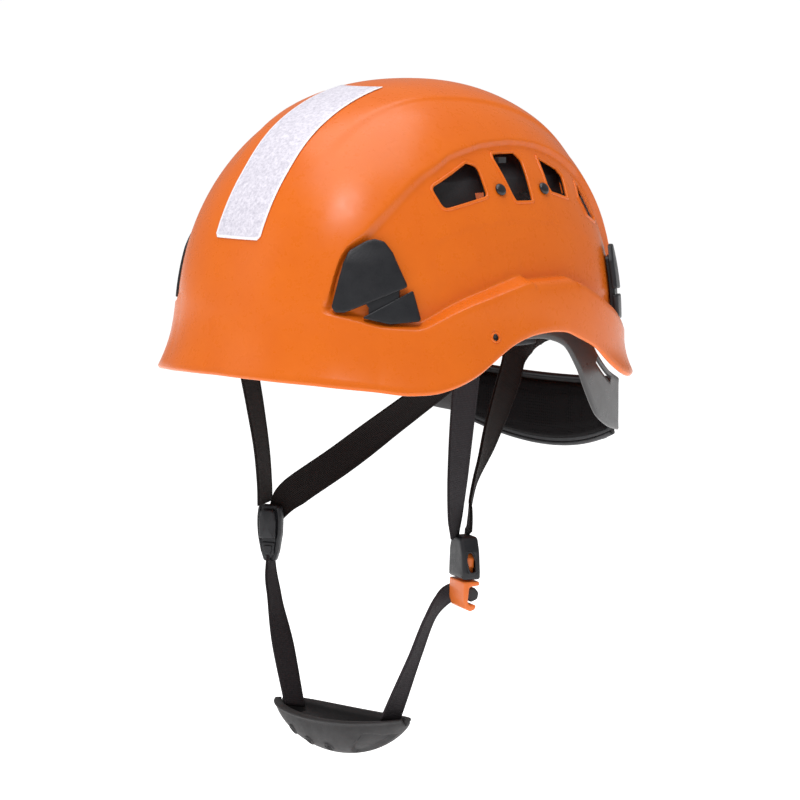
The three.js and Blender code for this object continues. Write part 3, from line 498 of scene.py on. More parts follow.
def ribbon(maker, stations, width, thick, steps):
    """Flat tape through stations (place, width direction), with rounded, raised selvedges."""
    path = curve_points([s[0] for s in stations], steps)
    wide = curve_points([s[1] for s in stations], steps)
    share = curve_points([(s[2] if len(s) > 2 else 1, 0, 0) for s in stations], steps)[:, 0]
    tangent = unit_rows(np.gradient(path, axis=0))
    wide = unit_rows(wide - tangent * np.sum(wide * tangent, 1)[:, None])
    out = np.cross(tangent, wide)
    run = np.concatenate([[0], np.cumsum(np.linalg.norm(np.diff(path, axis=0), axis=1))])
    half, t = width / 2, thick / 2
    face = [(-half + 0.3, t), (-half + 1.0, t), (-half + 1.6, t * 0.72), (-half * 0.4, t * 0.72),
            (0, t * 0.74),
            (half * 0.4, t * 0.72), (half - 1.6, t * 0.72), (half - 1.0, t), (half - 0.3, t)]
    section = [(-half, 0), *face, (half, 0), *[(x, -y) for x, y in reversed(face)]]
    rings, tape = [], []
    for k in range(steps):
        rings.append(np.array([path[k] + wide[k] * x * share[k] + out[k] * y for x, y in section]))
        tape.append([(x * MM, run[k] * MM) for x, _ in section])
    maker.rings(rings, caps=(0, 1), tape=tape)
    return path, wide, out


# ---------------------------------------------------------------- shell surface
HALF_WIDTH, FRONT, REAR, CROWN = 101, 131, 122, 132
PLAN_POWER, PROFILE_POWER, WALL = 2.25, 2.12, 2.6
FLARE, FLARE_START, FLARE_HEIGHT = (9.3, 16.5), (15, -8), 35
PANEL_DEPTH, PLATEAU_RISE = 4.2, 2.4
# Heights by side bearing: -90 at the brow, 0 at the ear, 90 at the nape.
BRIM_EDGE = [(-90, -16), (-78, -16.6), (-64, -18.3), (-51, -21), (-44, -23.2), (-37, -23),
             (-33.5, -21.3), (-29.5, -18.7), (-25, -14.8), (-20, -8.8), (-15, -3), (-11, 0.2), (-7, 2.3),
             (-3, 3.5), (4, 3.8), (10, 2.6), (15, -1.2), (20, -4.6), (25, -8.6), (32, -17.4),
             (38, -23.5), (43, -26.4), (48, -27), (58, -24), (72, -18), (90, -13.5)]
LEDGE = [(-90, 24), (-66, 21.5), (-58, 17.5), (-50, 12.5), (-40, 11), (-31, 19.5), (-25, 23.5), (-14, 29),
         (-6, 32.5), (9, 32.5), (18, 29), (25, 23), (35, 14), (47, 1.5), (60, -6), (90, -8)]
LEDGE_WIDTH = [(-68, 0), (-60, 1.2), (-50, 1.6), (-40, 4), (-31, 6), (0, 6), (20, 5), (36, 4), (50, 3),
               (64, 1.5), (90, 1)]
PANEL_TOP = [(-64, 5), (-62.3, 25), (-61.3, 38), (-60, 46), (-58, 51), (-55, 54.5), (-52, 61), (-48, 69),
             (-43, 78), (-38, 84.5), (-33, 88.5), (-26.5, 94), (-18, 96.8), (-9, 99), (0, 99.7), (10, 100),
             (19, 99), (27.5, 97), (35.5, 93.3), (42.5, 88), (50, 80), (57, 58), (61, 40), (66, -8)]
COVE = [(-58, 2.4), (-52, 5), (-44, 5), (-34, 3.6), (-18, 2.8), (35, 2.8), (45, 3.6), (54, 5)]
CREASE = [(-38, 49), (-32, 52.9), (-25.5, 56.9), (-17, 58.6), (-7.5, 59.4), (6.2, 59.1), (17, 57.4),
          (28.2, 52.9),
          (40, 44)]
CREASE_DEPTH = 0.5
EAR_SLOT = (-3.6, 14.6)
EAR_LAND = 30


def along(stations, side, soft=0.0):
    """Straight runs between stations, eased by averaging over a few degrees."""
    xs, ys = [s[0] for s in stations], [s[1] for s in stations]
    if not soft:
        return np.interp(side, xs, ys)
    total = 0
    for shift in np.linspace(-1, 1, 5):
        moved = side + shift * soft
        moved = np.where(moved > 90, 180 - moved, np.where(moved < -90, -180 - moved, moved))
        total = total + np.interp(moved, xs, ys)
    return total / 5


def side_bearing(bearing):
    return np.degrees(np.arctan2(np.sin(bearing), np.abs(np.cos(bearing))))


def dome(bearing, z):
    scale = (1 - np.clip(z / CROWN, 0, 1) ** PROFILE_POWER) ** (1 / PROFILE_POWER)
    length = np.where(np.sin(bearing) < 0, FRONT, REAR)
    reach = ((np.abs(np.cos(bearing)) / HALF_WIDTH) ** PLAN_POWER
             + (np.abs(np.sin(bearing)) / length) ** PLAN_POWER) ** (-1 / PLAN_POWER)
    rearward = smooth(-10, 35, side_bearing(bearing))
    below = np.maximum(lerp(*FLARE_START, rearward) - z, 0) / FLARE_HEIGHT
    return reach * scale + lerp(*FLARE, rearward) * below * below


def feature_heights(bearing):
    """Brim, foot of the ledge, top of the ledge, and top of the panel."""
    side = side_bearing(bearing)
    ledge = along(LEDGE, side, 1.5)
    front, rear = EAR_SLOT
    slot = smooth(front - 0.7, front + 0.7, side) * smooth(rear + 0.7, rear - 0.7, side)
    foot = lerp(ledge - 4, EAR_LAND - 0.7, slot)
    head = lerp(ledge, EAR_LAND, slot)
    panel = along(PANEL_TOP, side, 1.2)
    return along(BRIM_EDGE, side, 2.0), foot, head, panel


def shell_radius(bearing, z):
    side = side_bearing(bearing)
    _, foot, head, panel_top = feature_heights(bearing)
    rise = np.clip((head - z) / (head - foot), 0, 1)
    rise = 0.6 * rise + 0.4 * rise * rise * (3 - 2 * rise)
    plain = dome(bearing, z)
    fade = along(COVE, side, 2)
    panel = (PANEL_DEPTH * smooth(panel_top + fade, panel_top - fade, z) * smooth(head - 4, head, z)
             * smooth(-67, -63, side) * smooth(67, 61, side))
    crease = along(CREASE, side, 2)
    lower = (CREASE_DEPTH * smooth(crease + 0.5, crease - 0.5, z) * smooth(-38, -33, side)
             * smooth(38, 28, side) * smooth(head + 2, head + 12, z))
    half = np.interp(side, [-90, 90], [30, 52])
    plateau = PLATEAU_RISE * smooth(half + 2.5, half - 2.5, np.abs(plain * np.cos(bearing)))
    plateau = plateau * smooth(84, 112, z)
    return np.maximum(plain + along(LEDGE_WIDTH, side) * rise - panel - lower + plateau, 0)


def shell_at(bearing, z):
    radius = shell_radius(bearing, z)
    return np.stack([radius * np.cos(bearing), radius * np.sin(bearing), z + 0 * radius], -1)


def shell_normal(bearing, z):
    turned = shell_at(bearing + 0.008, z) - shell_at(bearing - 0.008, z)
    raised = shell_at(bearing, z + 0.4) - shell_at(bearing, z - 0.4)
    return unit_rows(np.cross(turned, raised))


def bearing_of(y, z, side):
    """The bearing at which the shell's surface has this y at height z, on the left or right."""
    y, z = np.broadcast_arrays(np.asarray(y, float), np.asarray(z, float))
    bearing = np.arctan2(y, HALF_WIDTH * 0.8)
    for _ in range(24):
        bearing = bearing + (y - shell_at(bearing, z)[..., 1]) / (HALF_WIDTH * 1.1)
    return bearing if side > 0 else np.pi - bearing


# ---------------------------------------------------------------- openings in the shell
VENTS = [
    ([(-51.5, 79.3), (-23.5, 91.6), (-16.8, 89.5), (-17.6, 73.2), (-48.3, 67.2)], [4, 3, 4, 3, 4]),
    ([(-3.6, 95.3), (14.2, 95.3), (17.2, 90.5), (14, 69.2), (0.4, 69.6), (-1.2, 74), (-4.6, 92)],
     [1.2, 3, 4, 1.8, 1.5, 3, 1.2]),
    ([(31, 92.3), (46.6, 85), (49.8, 80.6), (46.2, 69), (31, 73), (29.4, 77)], [1, 2.5, 4, 1.2, 1.5, 2]),
    ([(63.2, 77.4), (67.2, 75), (77.6, 56.6), (74, 54.6), (62.6, 59.4), (58.6, 68.4)],
     [1, 1.5, 1.5, 1.5, 2, 1.5]),
]
PIN_PLACES = [(-8.3, 76.3), (25.1, 75.3)]
VISOR_HOLE = (-36.4, 2.5)
VISOR_RADIUS = 2.2
COLUMNS = 540
ROWS = (10, 9, 44, 12, 46)
RIM_RADIUS = 1.0


def vent_outline(index, count=90):
    corners, radii = VENTS[index]
    return resampled(rounded(corners, radii), count)


def shell_keys(bearing):
    brim, foot, head, panel = feature_heights(bearing)
    fade = along(COVE, side_bearing(bearing), 2)
    low = np.maximum(panel - fade, head + 2)
    high = np.maximum(panel + fade, low + 3)
    return [brim, foot, head, low, high, 0 * brim + CROWN - 0.02]


def build_shell():
    bearing = np.arange(COLUMNS) / COLUMNS * 2 * np.pi
    keys = shell_keys(bearing)
    heights = [keys[0]]
    for part, count in enumerate(ROWS):
        for t in np.arange(1, count + 1) / count:
            t = math.sin(t * np.pi / 2) if part == len(ROWS) - 1 else t
            heights.append(lerp(keys[part], keys[part + 1], t))
    outer = [shell_at(bearing, z) for z in heights]
    inner = [points - WALL * shell_normal(bearing, np.minimum(z, CROWN - 3)) for points,
             z in zip(outer, heights)]
    around = np.stack([np.cos(bearing), np.sin(bearing), 0 * bearing], 1)
    inner[-1] = inner[-1] * UP + 0.02 * around
    lip = []
    middle, across = (outer[0] + inner[0]) / 2, (outer[0] - inner[0]) / 2
    for t in np.linspace(0, np.pi, 7)[1:-1]:
        lip.append(middle + across * math.cos(t) * 1.0 - UP * math.sin(t) * WALL * 0.45)
    maker = MeshMaker()
    maker.rings([*reversed(outer), *lip, *inner], caps=(0, 1))
    shell = maker.make("shell_skin", ORANGE)

    cutter = MeshMaker()
    for side in (1, -1):
        for index in range(len(VENTS)):
            outline = vent_outline(index)
            rings = [np.stack([0 * outline[:, 0] + side * x, outline[:, 0], outline[:, 1]],
                              1) for x in (24, 125)]
            cutter.rings(rings, caps=(0, 1))
        for y, z in PIN_PLACES:
            at, normal = pin_frame(y, z, side)
            lathe(cutter, [(1.9, -12), (1.9, 6)], at, normal, 20)
        at, normal = pin_frame(*VISOR_HOLE, side)
        lathe(cutter, [(VISOR_RADIUS, -12), (VISOR_RADIUS, 10)], at, normal, 28)
    # The vent walls take the cutter's black shutter material: this is painted shade on the cut walls of the
    # orange shell.
    cut_by(shell, cutter.make("shell_cutter", PANEL), walls="TRANSFER")
    add_rims(shell)
    return seat(shell, NODES["shell"]["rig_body"], "shell", "shell")


def cut_by(piece, tool, walls="INDEX"):
    """Cuts the tool out of the piece, applies it, and removes the tool."""
    modifier = piece.modifiers.new("cut", "BOOLEAN")
    modifier.object = tool
    modifier.solver = "EXACT"
    modifier.material_mode = walls
    apply_modifiers(piece)
    bpy.data.objects.remove(tool)


def apply_modifiers(piece):
    graph = bpy.context.evaluated_depsgraph_get()
    mesh = bpy.data.meshes.new_from_object(piece.evaluated_get(graph), depsgraph=graph)
    piece.modifiers.clear()
    piece.data = mesh


def join(target, *others):
    with bpy.context.temp_override(active_object=target, selected_editable_objects=[target, *others]):
        bpy.ops.object.join()
    return target


def pin_frame(y, z, side):
    turn = bearing_of(y, z, side)
    return shell_at(turn, np.array(z)), shell_normal(turn, np.array(z))


def add_rims(shell):
    """Rounded rims moulded round each vent and visor hole."""
    maker = MeshMaker()
    for side in (1, -1):
        for index in range(len(VENTS)):
            outline = vent_outline(index, 140)
            turn = bearing_of(outline[:, 0], outline[:, 1], side)
            at, normal = shell_at(turn, outline[:, 1]), shell_normal(turn, outline[:, 1])
            tube(maker, at - normal * 0.35, RIM_RADIUS, 10, out=normal)
        at, normal = pin_frame(*VISOR_HOLE, side)
        lathe(maker, [(VISOR_RADIUS - 0.2, -0.8), (VISOR_RADIUS - 0.25, 0.1), (VISOR_RADIUS + 0.2, 0.45),
                      (VISOR_RADIUS + 0.8, 0.3), (VISOR_RADIUS + 1.0, -0.6)], at, normal, 32, caps=())
    join(shell, maker.make("rims", ORANGE))


# ---------------------------------------------------------------- headlamp clips
CLIPS = {
    "front": {"bearing": -52, "plates": [
        ([(-20.8, 20), (-19, 17.2), (-14, 17.1), (17.4, 29.8), (9.2, 47.5), (4.8, 53), (0, 54.4),
          (-4, 53.6),
          (-12.8, 48.6), (-15.5, 42)], [1.5, 1.5, 1, 1.5, 6, 3, 3, 3, 4, 6]),
        ([(-5.4, 14.4), (19.8, 28), (24.2, 12), (9, 10.9)], [0.8, 1, 1.5, 5])],
        "base": ([(-2, 13.5), (13, 14.5), (13, 28), (8, 46), (-10, 46), (-10, 26), (-2, 20)], 1)},
    "rear": {"bearing": 51, "plates": [
        ([(-13, 19), (11, 17.5), (10, 34), (6, 42), (-6, 42), (-12, 34)], [1, 1, 3, 3, 3, 3]),
        ([(-13, 15.8), (11, 14.3), (10, 1), (-11, 3)], [1, 1, 2, 2])],
        "base": ([(-11, 5), (9, 4), (8, 36), (-9, 36)], 1)},
}


def dome_place(bearing, mirror):
    """Puts (tangential distance, z, lift) on the plain dome round a bearing."""
    turn = math.radians(bearing)
    outward, tangent = directions(turn)

    def place(u, z, h):
        reach = dome(turn + 0 * u, np.maximum(z, 0)) + h
        for _ in range(12):
            around = turn + np.arctan2(u, reach)
            radius = dome(around, z) + h
            reach = np.sqrt(np.maximum(radius ** 2 - u ** 2, 1))
        made = np.outer(reach, outward) + np.outer(u, tangent) + np.outer(z, UP)
        return made * np.array([mirror, 1, 1])
    return place


def build_clips():
    for name, clip in CLIPS.items():
        for side, word in SIDES:
            maker = MeshMaker()
            place = dome_place(clip["bearing"], side)
            for corners, radii in clip["plates"]:
                outline = resampled(rounded(corners, radii, 7), 110)
                facet = outline[:, 1].max() - 12 if name == "front" else None

                def shaped(u, z, h, facet=facet):
                    tip = 0 if facet is None else 0.9 * smooth(facet - 1.5, facet + 9, z + u * 0.1)
                    return place(u, z, h - tip * (h > 0))
                tablet(maker, outline, -1.2, 1.2, shaped, edge=0.7, rings=9, back_edge=0.3)
            base = resampled(rounded(*clip["base"], 4), 60)
            tablet(maker, base, -3.4, -0.6, place, edge=0.2, rings=3, back_edge=0.2)
            piece = maker.make(f"clip_{name}_{word}", BLACK)
            seat(piece, HELMET, "clip_black", f"headlamp_clip_{name}_{word}")


# ---------------------------------------------------------------- reflective strip
def build_strip():
    half, low, high, lift = 17.2, 52.2, 128.4, 0.5

    def place(u, v, h):
        radius = dome(-np.pi / 2 + 0 * u, v)
        turn = np.arctan2(-radius, u)
        return shell_at(turn, v) * (1 + (h + lift)[:, None] / CROWN)
    columns, rows = 24, 60
    maker = MeshMaker()
    rings, tape = [], []
    for v in np.linspace(0, 1, rows):
        z = low + (high - low) * math.sin(v * np.pi / 2)
        x = np.linspace(-1, 1, columns) * half
        corner = min((z - low) / 2.2, 1)
        x = x * (1 - 0.11 * (1 - math.sqrt(max(1 - (1 - corner) ** 2, 0))))
        rings.append(place(x, z + 0 * x, 0 * x))
        edge = np.minimum(half - np.abs(x), z - low)
        tape.append([(e * MM, v) for e in edge])
    maker.rings(rings, close=False, tape=tape)
    piece = maker.make("reflective_film", FILM)
    thick = piece.modifiers.new("thick", "SOLIDIFY")
    thick.thickness = 0.45 * MM
    thick.offset = 0
    bevel = piece.modifiers.new("bevel", "BEVEL")
    bevel.width = 0.15 * MM
    bevel.segments = 2
    apply_modifiers(piece)
    seat(piece, HELMET, "reflective", "reflective_strip")


# ---------------------------------------------------------------- shutter pins
def build_pins():
    for index, (y, z) in enumerate(PIN_PLACES):
        for side, word in SIDES:
            at, normal = pin_frame(y, z, side)
            maker = MeshMaker()
            profile = [(1.4, -6), (1.4, 0.2), (3.0, 0.25), (3.35, 0.45), (3.4, 0.75), (3.15, 1.25),
                       (2.5, 1.8),
                       (1.6, 2.15), (0.7, 2.3), (0.05, 2.33)]
            lathe(maker, profile, at, normal, 32)
            piece = maker.make(f"shutter_pin_head_{index + 1}_{word}", GLOSSY)
            seat(piece, HELMET, "pin_black", f"shutter_pin_{index + 1}_{word}")


# ---------------------------------------------------------------- bands and straps
def rounded_section(rows, half_thick, edge, length):
    """(share across, height) of a flat section with rounded edges. length is its width."""
    share = edge / length
    front = [(v, half_thick) for v in np.linspace(share, 1 - share, rows)]
    turn = np.linspace(np.pi / 2, -np.pi / 2, 7)[1:-1]
    side = [(1 - share + share * math.cos(t), half_thick * math.sin(t)) for t in turn]
    return front + side + [(1 - v, -h) for v, h in front] + [(1 - v, -h) for v, h in side]


def band(maker, surface, stations, section, taper):
    """A long curved piece: surface(u, v, h), with its ends drawn in a little."""
    rings = []
    v = np.array([s[0] for s in section])
    h = np.array([s[1] for s in section])
    first, last = stations[0], stations[-1]
    reach = (last - first) * taper
    places = [(first, 0.35), (first + reach * 0.3, 0.75), (first + reach, 1)]
    places += [(u, 1) for u in stations if first + reach < u < last - reach]
    places += [(last - reach, 1), (last - reach * 0.3, 0.75), (last, 0.35)]
    for u, share in places:
        rings.append(surface(u, 0.5 + (v - 0.5) * (0.97 + 0.03 * share), h * share))
    maker.rings(rings, caps=(0, 1))


def mirror_stations(stations):
    return [([-at[0], *at[1:]], [-wide[0], *wide[1:]]) for at, wide in stations]


STRAP_WIDE, STRAP_THICK, LOWER_WIDE = 17, 1.6, 15
# Stations of the tapes: place, width direction and, where the tape is folded narrower, its share.
REAR_RUN = [([10, 104, -14.5], [-0.92, 0.1, -0.3]), ([9.2, 91, -14.8], [-0.4, 0.6, -0.7]),
            ([10.5, 76, -18.6], [0.15, 0.7, -0.7]), ([19.1, 61.7, -30.9], [0.15, 0.68, -0.72]),
            ([38.3, 27.5, -58.4], [-0.14, 0.58, -0.81]), ([52.6, 1.7, -79.1], [-0.49, 0.37, -0.79]),
            ([66.7, -17.3, -95], [-0.46, 0.38, -0.8])]
STRAPS = {
    "front_strap_left": [([88, -38, 5], [0.2, 0.98, 0]), ([85, -38, -22], [0.14, 0.99, 0]),
                         ([81.1, -37.5, -50], [0, 1, 0]), ([77.6, -36.5, -74], [-0.16, 0.99, 0]),
                         ([74.4, -35, -94], [-0.37, 0.93, 0]),
                         ([73.3, -34.3, -105.4], [-0.5, 0.87, 0], 0.7)],
    "front_strap_right": [([-88, -38, 5], [-0.14, 0.99, 0]), ([-85, -38, -22], [-0.22, 0.97, 0]),
                          ([-79.7, -37, -48], [-0.29, 0.96, 0]), ([-76.6, -35, -72], [-0.36, 0.93, 0]),
                          ([-77.2, -32.4, -92], [-0.38, 0.92, 0]),
                          ([-77.6, -31.8, -102.5], [-0.38, 0.92, 0])],
    "rear_strap_left": [*REAR_RUN, ([71.8, -22.4, -98], [-0.6, 0.3, -0.74], 0.7),
                        ([76.0, -27, -104.6], [-0.85, 0.36, -0.2], 0.4)],
    "rear_strap_right": [*mirror_stations(REAR_RUN), ([-71.8, -21.6, -100.6], [0.6, 0.45, -0.65], 0.9),
                         ([-75.9, -25.1, -109], [0.9135, 0.4067, 0], 0.6)],
    "rear_strap_centre": [([0, 112, -9.5], [1, 0, 0]), ([0, 105, -10.3], [1, 0, 0]),
                          ([0, 98, -12], [1, 0, 0])],
    "lower_strap_left": [([66.6, -24.2, -135.6], [-0.3, -0.68, 0.66], 0.7),
                         ([62.6, -25.8, -136.8], [-0.3, -0.68, 0.66], 0.7),
                         ([58, -28, -141], [0.2, -0.8, 0.5], 0.8), ([52, -31.5, -151], [0.4, -0.92, 0.1]),
                         ([46, -37, -172], [0.3, -0.95, -0.05]), ([37, -47.4, -207.5], [-0.1, -1, 0], 0.9)],
    "lower_strap_right": [([-75.6, -29.5, -131], [-0.4, 0.92, 0], 0.55),
                          ([-75.5, -29.6, -135.2], [-0.4, 0.92, 0], 0.7),
                          ([-74.4, -30.2, -141], [-0.4, 0.92, 0], 0.85),
                          ([-69, -33, -152], [-0.4, 0.92, 0]),
                          ([-53, -40.5, -180], [0, 1, 0]), ([-37, -47.4, -208], [0, 1, 0], 0.9)],
}


def stitch_box(maker, path, wide, out, first, last, half, thick):
    """Bar-tack threads: short raised stitches in two rows across the tape."""
    for k in (first, last):
        for x in np.arange(-half + 2.4, half - 2, 1.5):
            centre = path[k] + wide[k] * x
            run = path[k + 1] - path[k]
            run /= np.linalg.norm(run)
            for face in (1, -1):
                at = centre + out[k] * face * thick
                bead = [at - run * 1.0, at - run * 0.5 + out[k] * face * 0.22,
                        at + run * 0.5 + out[k] * face * 0.22,
                        at + run * 1.0]
                tube(maker, bead, 0.22, 5, closed=False, out=np.tile(out[k], (4, 1)))


def build_strap(name, body, stations, width, material, nodes, thick=STRAP_THICK, steps=90, tack=None):
    maker = MeshMaker()
    path, wide, out = ribbon(maker, stations, width, thick, steps)
    if tack:
        stitch_box(maker, path, wide, out, *tack, width / 2, thick * 0.36)
    return seat(maker.make(name, material), body, "webbing", *nodes)


def build_straps():
    for word in ("left", "right"):
        # The left front tape takes the painted-light copy of the webbing, and the right one takes the
        # painted-shade copy.
        front = TAPE_PAINTED_LIT if word == "left" else TAPE
        for name, material in (("front_strap", front), ("rear_strap", TAPE)):
            build_strap(f"{name}_tape_{word}", HELMET, STRAPS[f"{name}_{word}"], STRAP_WIDE, material,
                        [f"{name}_{word}"], tack=(4, 10))
    build_strap("rear_tape_centre", HELMET, STRAPS["rear_strap_centre"], STRAP_WIDE, TAPE,
                ["rear_strap_centre"],
                steps=40, tack=(26, 34))
    chin = NODES["chin_cup"]["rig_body"]
    # The lower tapes take the painted-light copy of the webbing.
    build_strap("lower_tape_left", chin, STRAPS["lower_strap_left"], LOWER_WIDE, TAPE_PAINTED_LIT,
                ["lower_strap_left"])
    build_strap("lower_tape_right", chin, STRAPS["lower_strap_right"], LOWER_WIDE, TAPE_PAINTED_LIT,
                ["lower_strap_right"])


CRADLE = {"front_rear": (90, 98), "diagonal_left": (37, 95.6), "diagonal_right": (143, 93.2)}
CRADLE_FOOT, CRADLE_INSET = 19, 14.5


def build_cradle():
    for name, (bearing, top) in CRADLE.items():
        turn = math.radians(bearing)
        wide = [-math.sin(turn), math.cos(turn), 0]
        stations = []
        for k in range(13):
            angle = k / 12 * math.pi
            end = turn if angle < math.pi / 2 else turn + math.pi
            reach = abs(math.cos(angle)) * (float(dome(np.array(end),
                                                       np.array(CRADLE_FOOT))) - CRADLE_INSET)
            z = CRADLE_FOOT + (top - CRADLE_FOOT) * math.sin(angle)
            stations.append(([reach * math.cos(end), reach * math.sin(end), z], wide))
        build_strap(f"crown_tape_{name}", HELMET, stations, 20, TAPE, [f"crown_strap_{name}"], 1.4, 140,
                    (5, 12))
        for index, end in enumerate((turn, turn + math.pi)):
            build_anchor(f"{name}_{index + 1}", end)


def build_anchor(name, bearing):
    """A clip with a slotted foot that hooks a strap's end to the shell's inner wall."""
    reach = float(dome(np.array(bearing), np.array(CRADLE_FOOT)))
    outward, tangent = directions(bearing)
    low, high = reach - CRADLE_INSET - 2.5, reach - WALL - PANEL_DEPTH - 1.4
    maker = MeshMaker()
    outline = rounded([(-11, 10.2), (11, 10.2), (11, 15), (9, 17.5), (-9, 17.5), (-11, 15)],
                      [1.5, 1.5, 1, 1, 1, 1])
    tablet(maker, outline, low, high, frame_place([0, 0, 0], tangent, UP, outward), edge=0.8, rings=3)
    for x in (-6, -2, 2, 6):
        rib = rounded([(x - 0.6, 11.2), (x + 0.6, 11.2), (x + 0.6, 16.6), (x - 0.6, 16.6)], 0.4, 3)
        tablet(maker, rib, low - 0.5, low + 0.4, frame_place([0, 0, 0], tangent, UP, outward), edge=0.2,
               rings=2)
    seat(maker.make(f"cradle_clip_{name}", BLACK), HELMET, "clip_black", f"cradle_anchor_{name}")


# ---------------------------------------------------------------- headband and pads
BAND = {"half_width": 79, "half_length": 97, "low": -7, "high": 21, "thick": 1.8}


def band_surface(middle, low, high):
    def surface(u, v, h):
        turn = math.radians(u)
        outward = np.array([math.cos(turn), math.sin(turn), 0])
        base = np.array([(BAND["half_width"] - middle) * math.cos(turn), (BAND["half_length"] - middle)
                         * math.sin(turn), 0])
        return base + np.outer(h, outward) + np.outer(low + (high - low) * v, UP)
    return surface


def build_headband():
    maker = MeshMaker()
    half = BAND["thick"] / 2
    band(maker, band_surface(half, BAND["low"], BAND["high"]), np.linspace(-194, 14, 160),
         rounded_section(9, half, 1.2, 28), 0.006)
    for z in (-2.5, 16.5):
        path = [band_surface(half, z, z)(u, np.array([0.0]),
                                         np.array([half]))[0] for u in np.linspace(-190, 10, 120)]
        tube(maker, path, 0.6, 6, closed=False)
    piece = maker.make("head_band", BLACK)
    cutter = MeshMaker()
    for u in [*range(-188, -158, 6), *range(-22, 8, 6)]:
        outward, tangent = directions(math.radians(u))
        hole = rounded([(-1.5, 4), (1.5, 4), (1.5, 10), (-1.5, 10)], 1.4, 4)
        tablet(cutter, hole, 60, 110, frame_place([0, 0, 0], tangent, UP, outward), edge=0.1, rings=2)
    cut_by(piece, cutter.make("band_cutter", BLACK))
    seat(piece, HELMET, "clip_black", "headband")

    pad = MeshMaker()
    low, high, thick = BAND["low"] + 1, BAND["high"] - 1, 5.2
    start = BAND["thick"] + 0.3
    rings = []
    for u in np.linspace(-150, -30, 150):
        along_pad = min((u + 150) / 3.5, (-30 - u) / 3.5, 1)
        puff = math.sqrt(max(1 - (1 - along_pad) ** 2, 0.02))
        quilt = 1 - 0.24 * math.exp(-((((u + 90) + 100) % 20 - 10) / 0.9) ** 2)
        ring = []
        for v in np.linspace(0, 1, 15):
            swell = math.sqrt(max(1 - (2 * v - 1) ** 4,
                                  0.0)) * (1 - 0.10 * math.exp(-((v - 0.5) / 0.06) ** 2))
            ring.append((v, -thick * puff * quilt * (0.12 + 0.88 * swell)))
        ring += [(v, -0.05) for v in np.linspace(0.96, 0.04, 8)]
        v, h = np.array(ring).T
        shrink = 0.5 + (v - 0.5) * (0.86 + 0.14 * puff)
        rings.append(band_surface(start, low, high)(u, shrink, h))
    pad.rings(rings, caps=(0, 1))
    piece = seat(pad.make("brow_cushion", LINING), HELMET, "padding", "brow_pad")


# ---------------------------------------------------------------- nape adjuster
ARM = [(83.5, 6, -3, 17), (84.5, 22, -4, 19), (85, 36, -9, 16), (83, 48, -22, 8), (80, 58, -36, -3),
       (75.5, 70, -49, -15), (69, 86, -57, -26), (62.5, 101, -61, -32)]
CRADLE_HALF, CRADLE_BOW = 59, 8
KNOB_Y, KNOB_Z = 119, -56
RACK_Y = 112.2


def build_arms():
    steps = 120
    path = curve_points([(x, y, 0) for x, y, _, _ in ARM], steps)
    low = curve_points([(0, y, z) for _, y, z, _ in ARM], steps)[:, 2]
    high = curve_points([(0, y, z) for _, y, _, z in ARM], steps)[:, 2]
    tangent = unit_rows(np.gradient(path, axis=0))
    outward = np.stack([tangent[:, 1], -tangent[:, 0], 0 * tangent[:, 0]], 1)

    def surface(u, v, h):
        k = min(int(round(u)), steps - 1)
        return path[k] + np.outer(h, outward[k]) + np.outer(low[k] + (high[k] - low[k]) * v, UP)
    for side, word in SIDES:
        mirror = np.array([side, 1, 1])
        maker = MeshMaker()
        section = rounded_section(9, 1.0, 1.0, 30)
        section = [(v, h + (0.35 * math.exp(-((v - 0.06) / 0.03) ** 2) + 0.35
                            * math.exp(-((v - 0.94) / 0.03) ** 2))
                    * (h > 0.9)) for v, h in section]
        band(maker, lambda u, v, h: surface(u, v, h) * mirror, list(range(steps)), section, 0.01)
        piece = maker.make(f"nape_side_arm_{word}", GREY)
        cutter = MeshMaker()
        line = [surface(u, np.array([0.86]), np.array([1.3]))[0] * mirror for u in range(84, 106)]
        tube(cutter, line, 1.7, 12, closed=False, flat=2.5,
             out=[outward[u] * mirror for u in range(84, 106)])
        cut_by(piece, cutter.make("arm_cutter", GREY))
        seat(piece, NODES["nape_arm_left"]["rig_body"], "arm_grey", f"nape_arm_{word}")


def cradle_surface(offset, inset):
    def surface(u, v, h):
        x = lerp(-CRADLE_HALF + inset, CRADLE_HALF - inset, u)
        bow = 1 - (x / CRADLE_HALF) ** 2
        low, high = -63 - 12 * bow + inset, -32 - 3 * bow - inset
        slope = -2 * CRADLE_BOW * x / CRADLE_HALF ** 2
        normal = np.array([-slope, 1, 0]) / math.hypot(slope, 1)
        base = np.array([x, 103 + CRADLE_BOW * bow + offset, 0])
        return base + np.outer(h, normal) + np.outer(low + (high - low) * v, UP)
    return surface


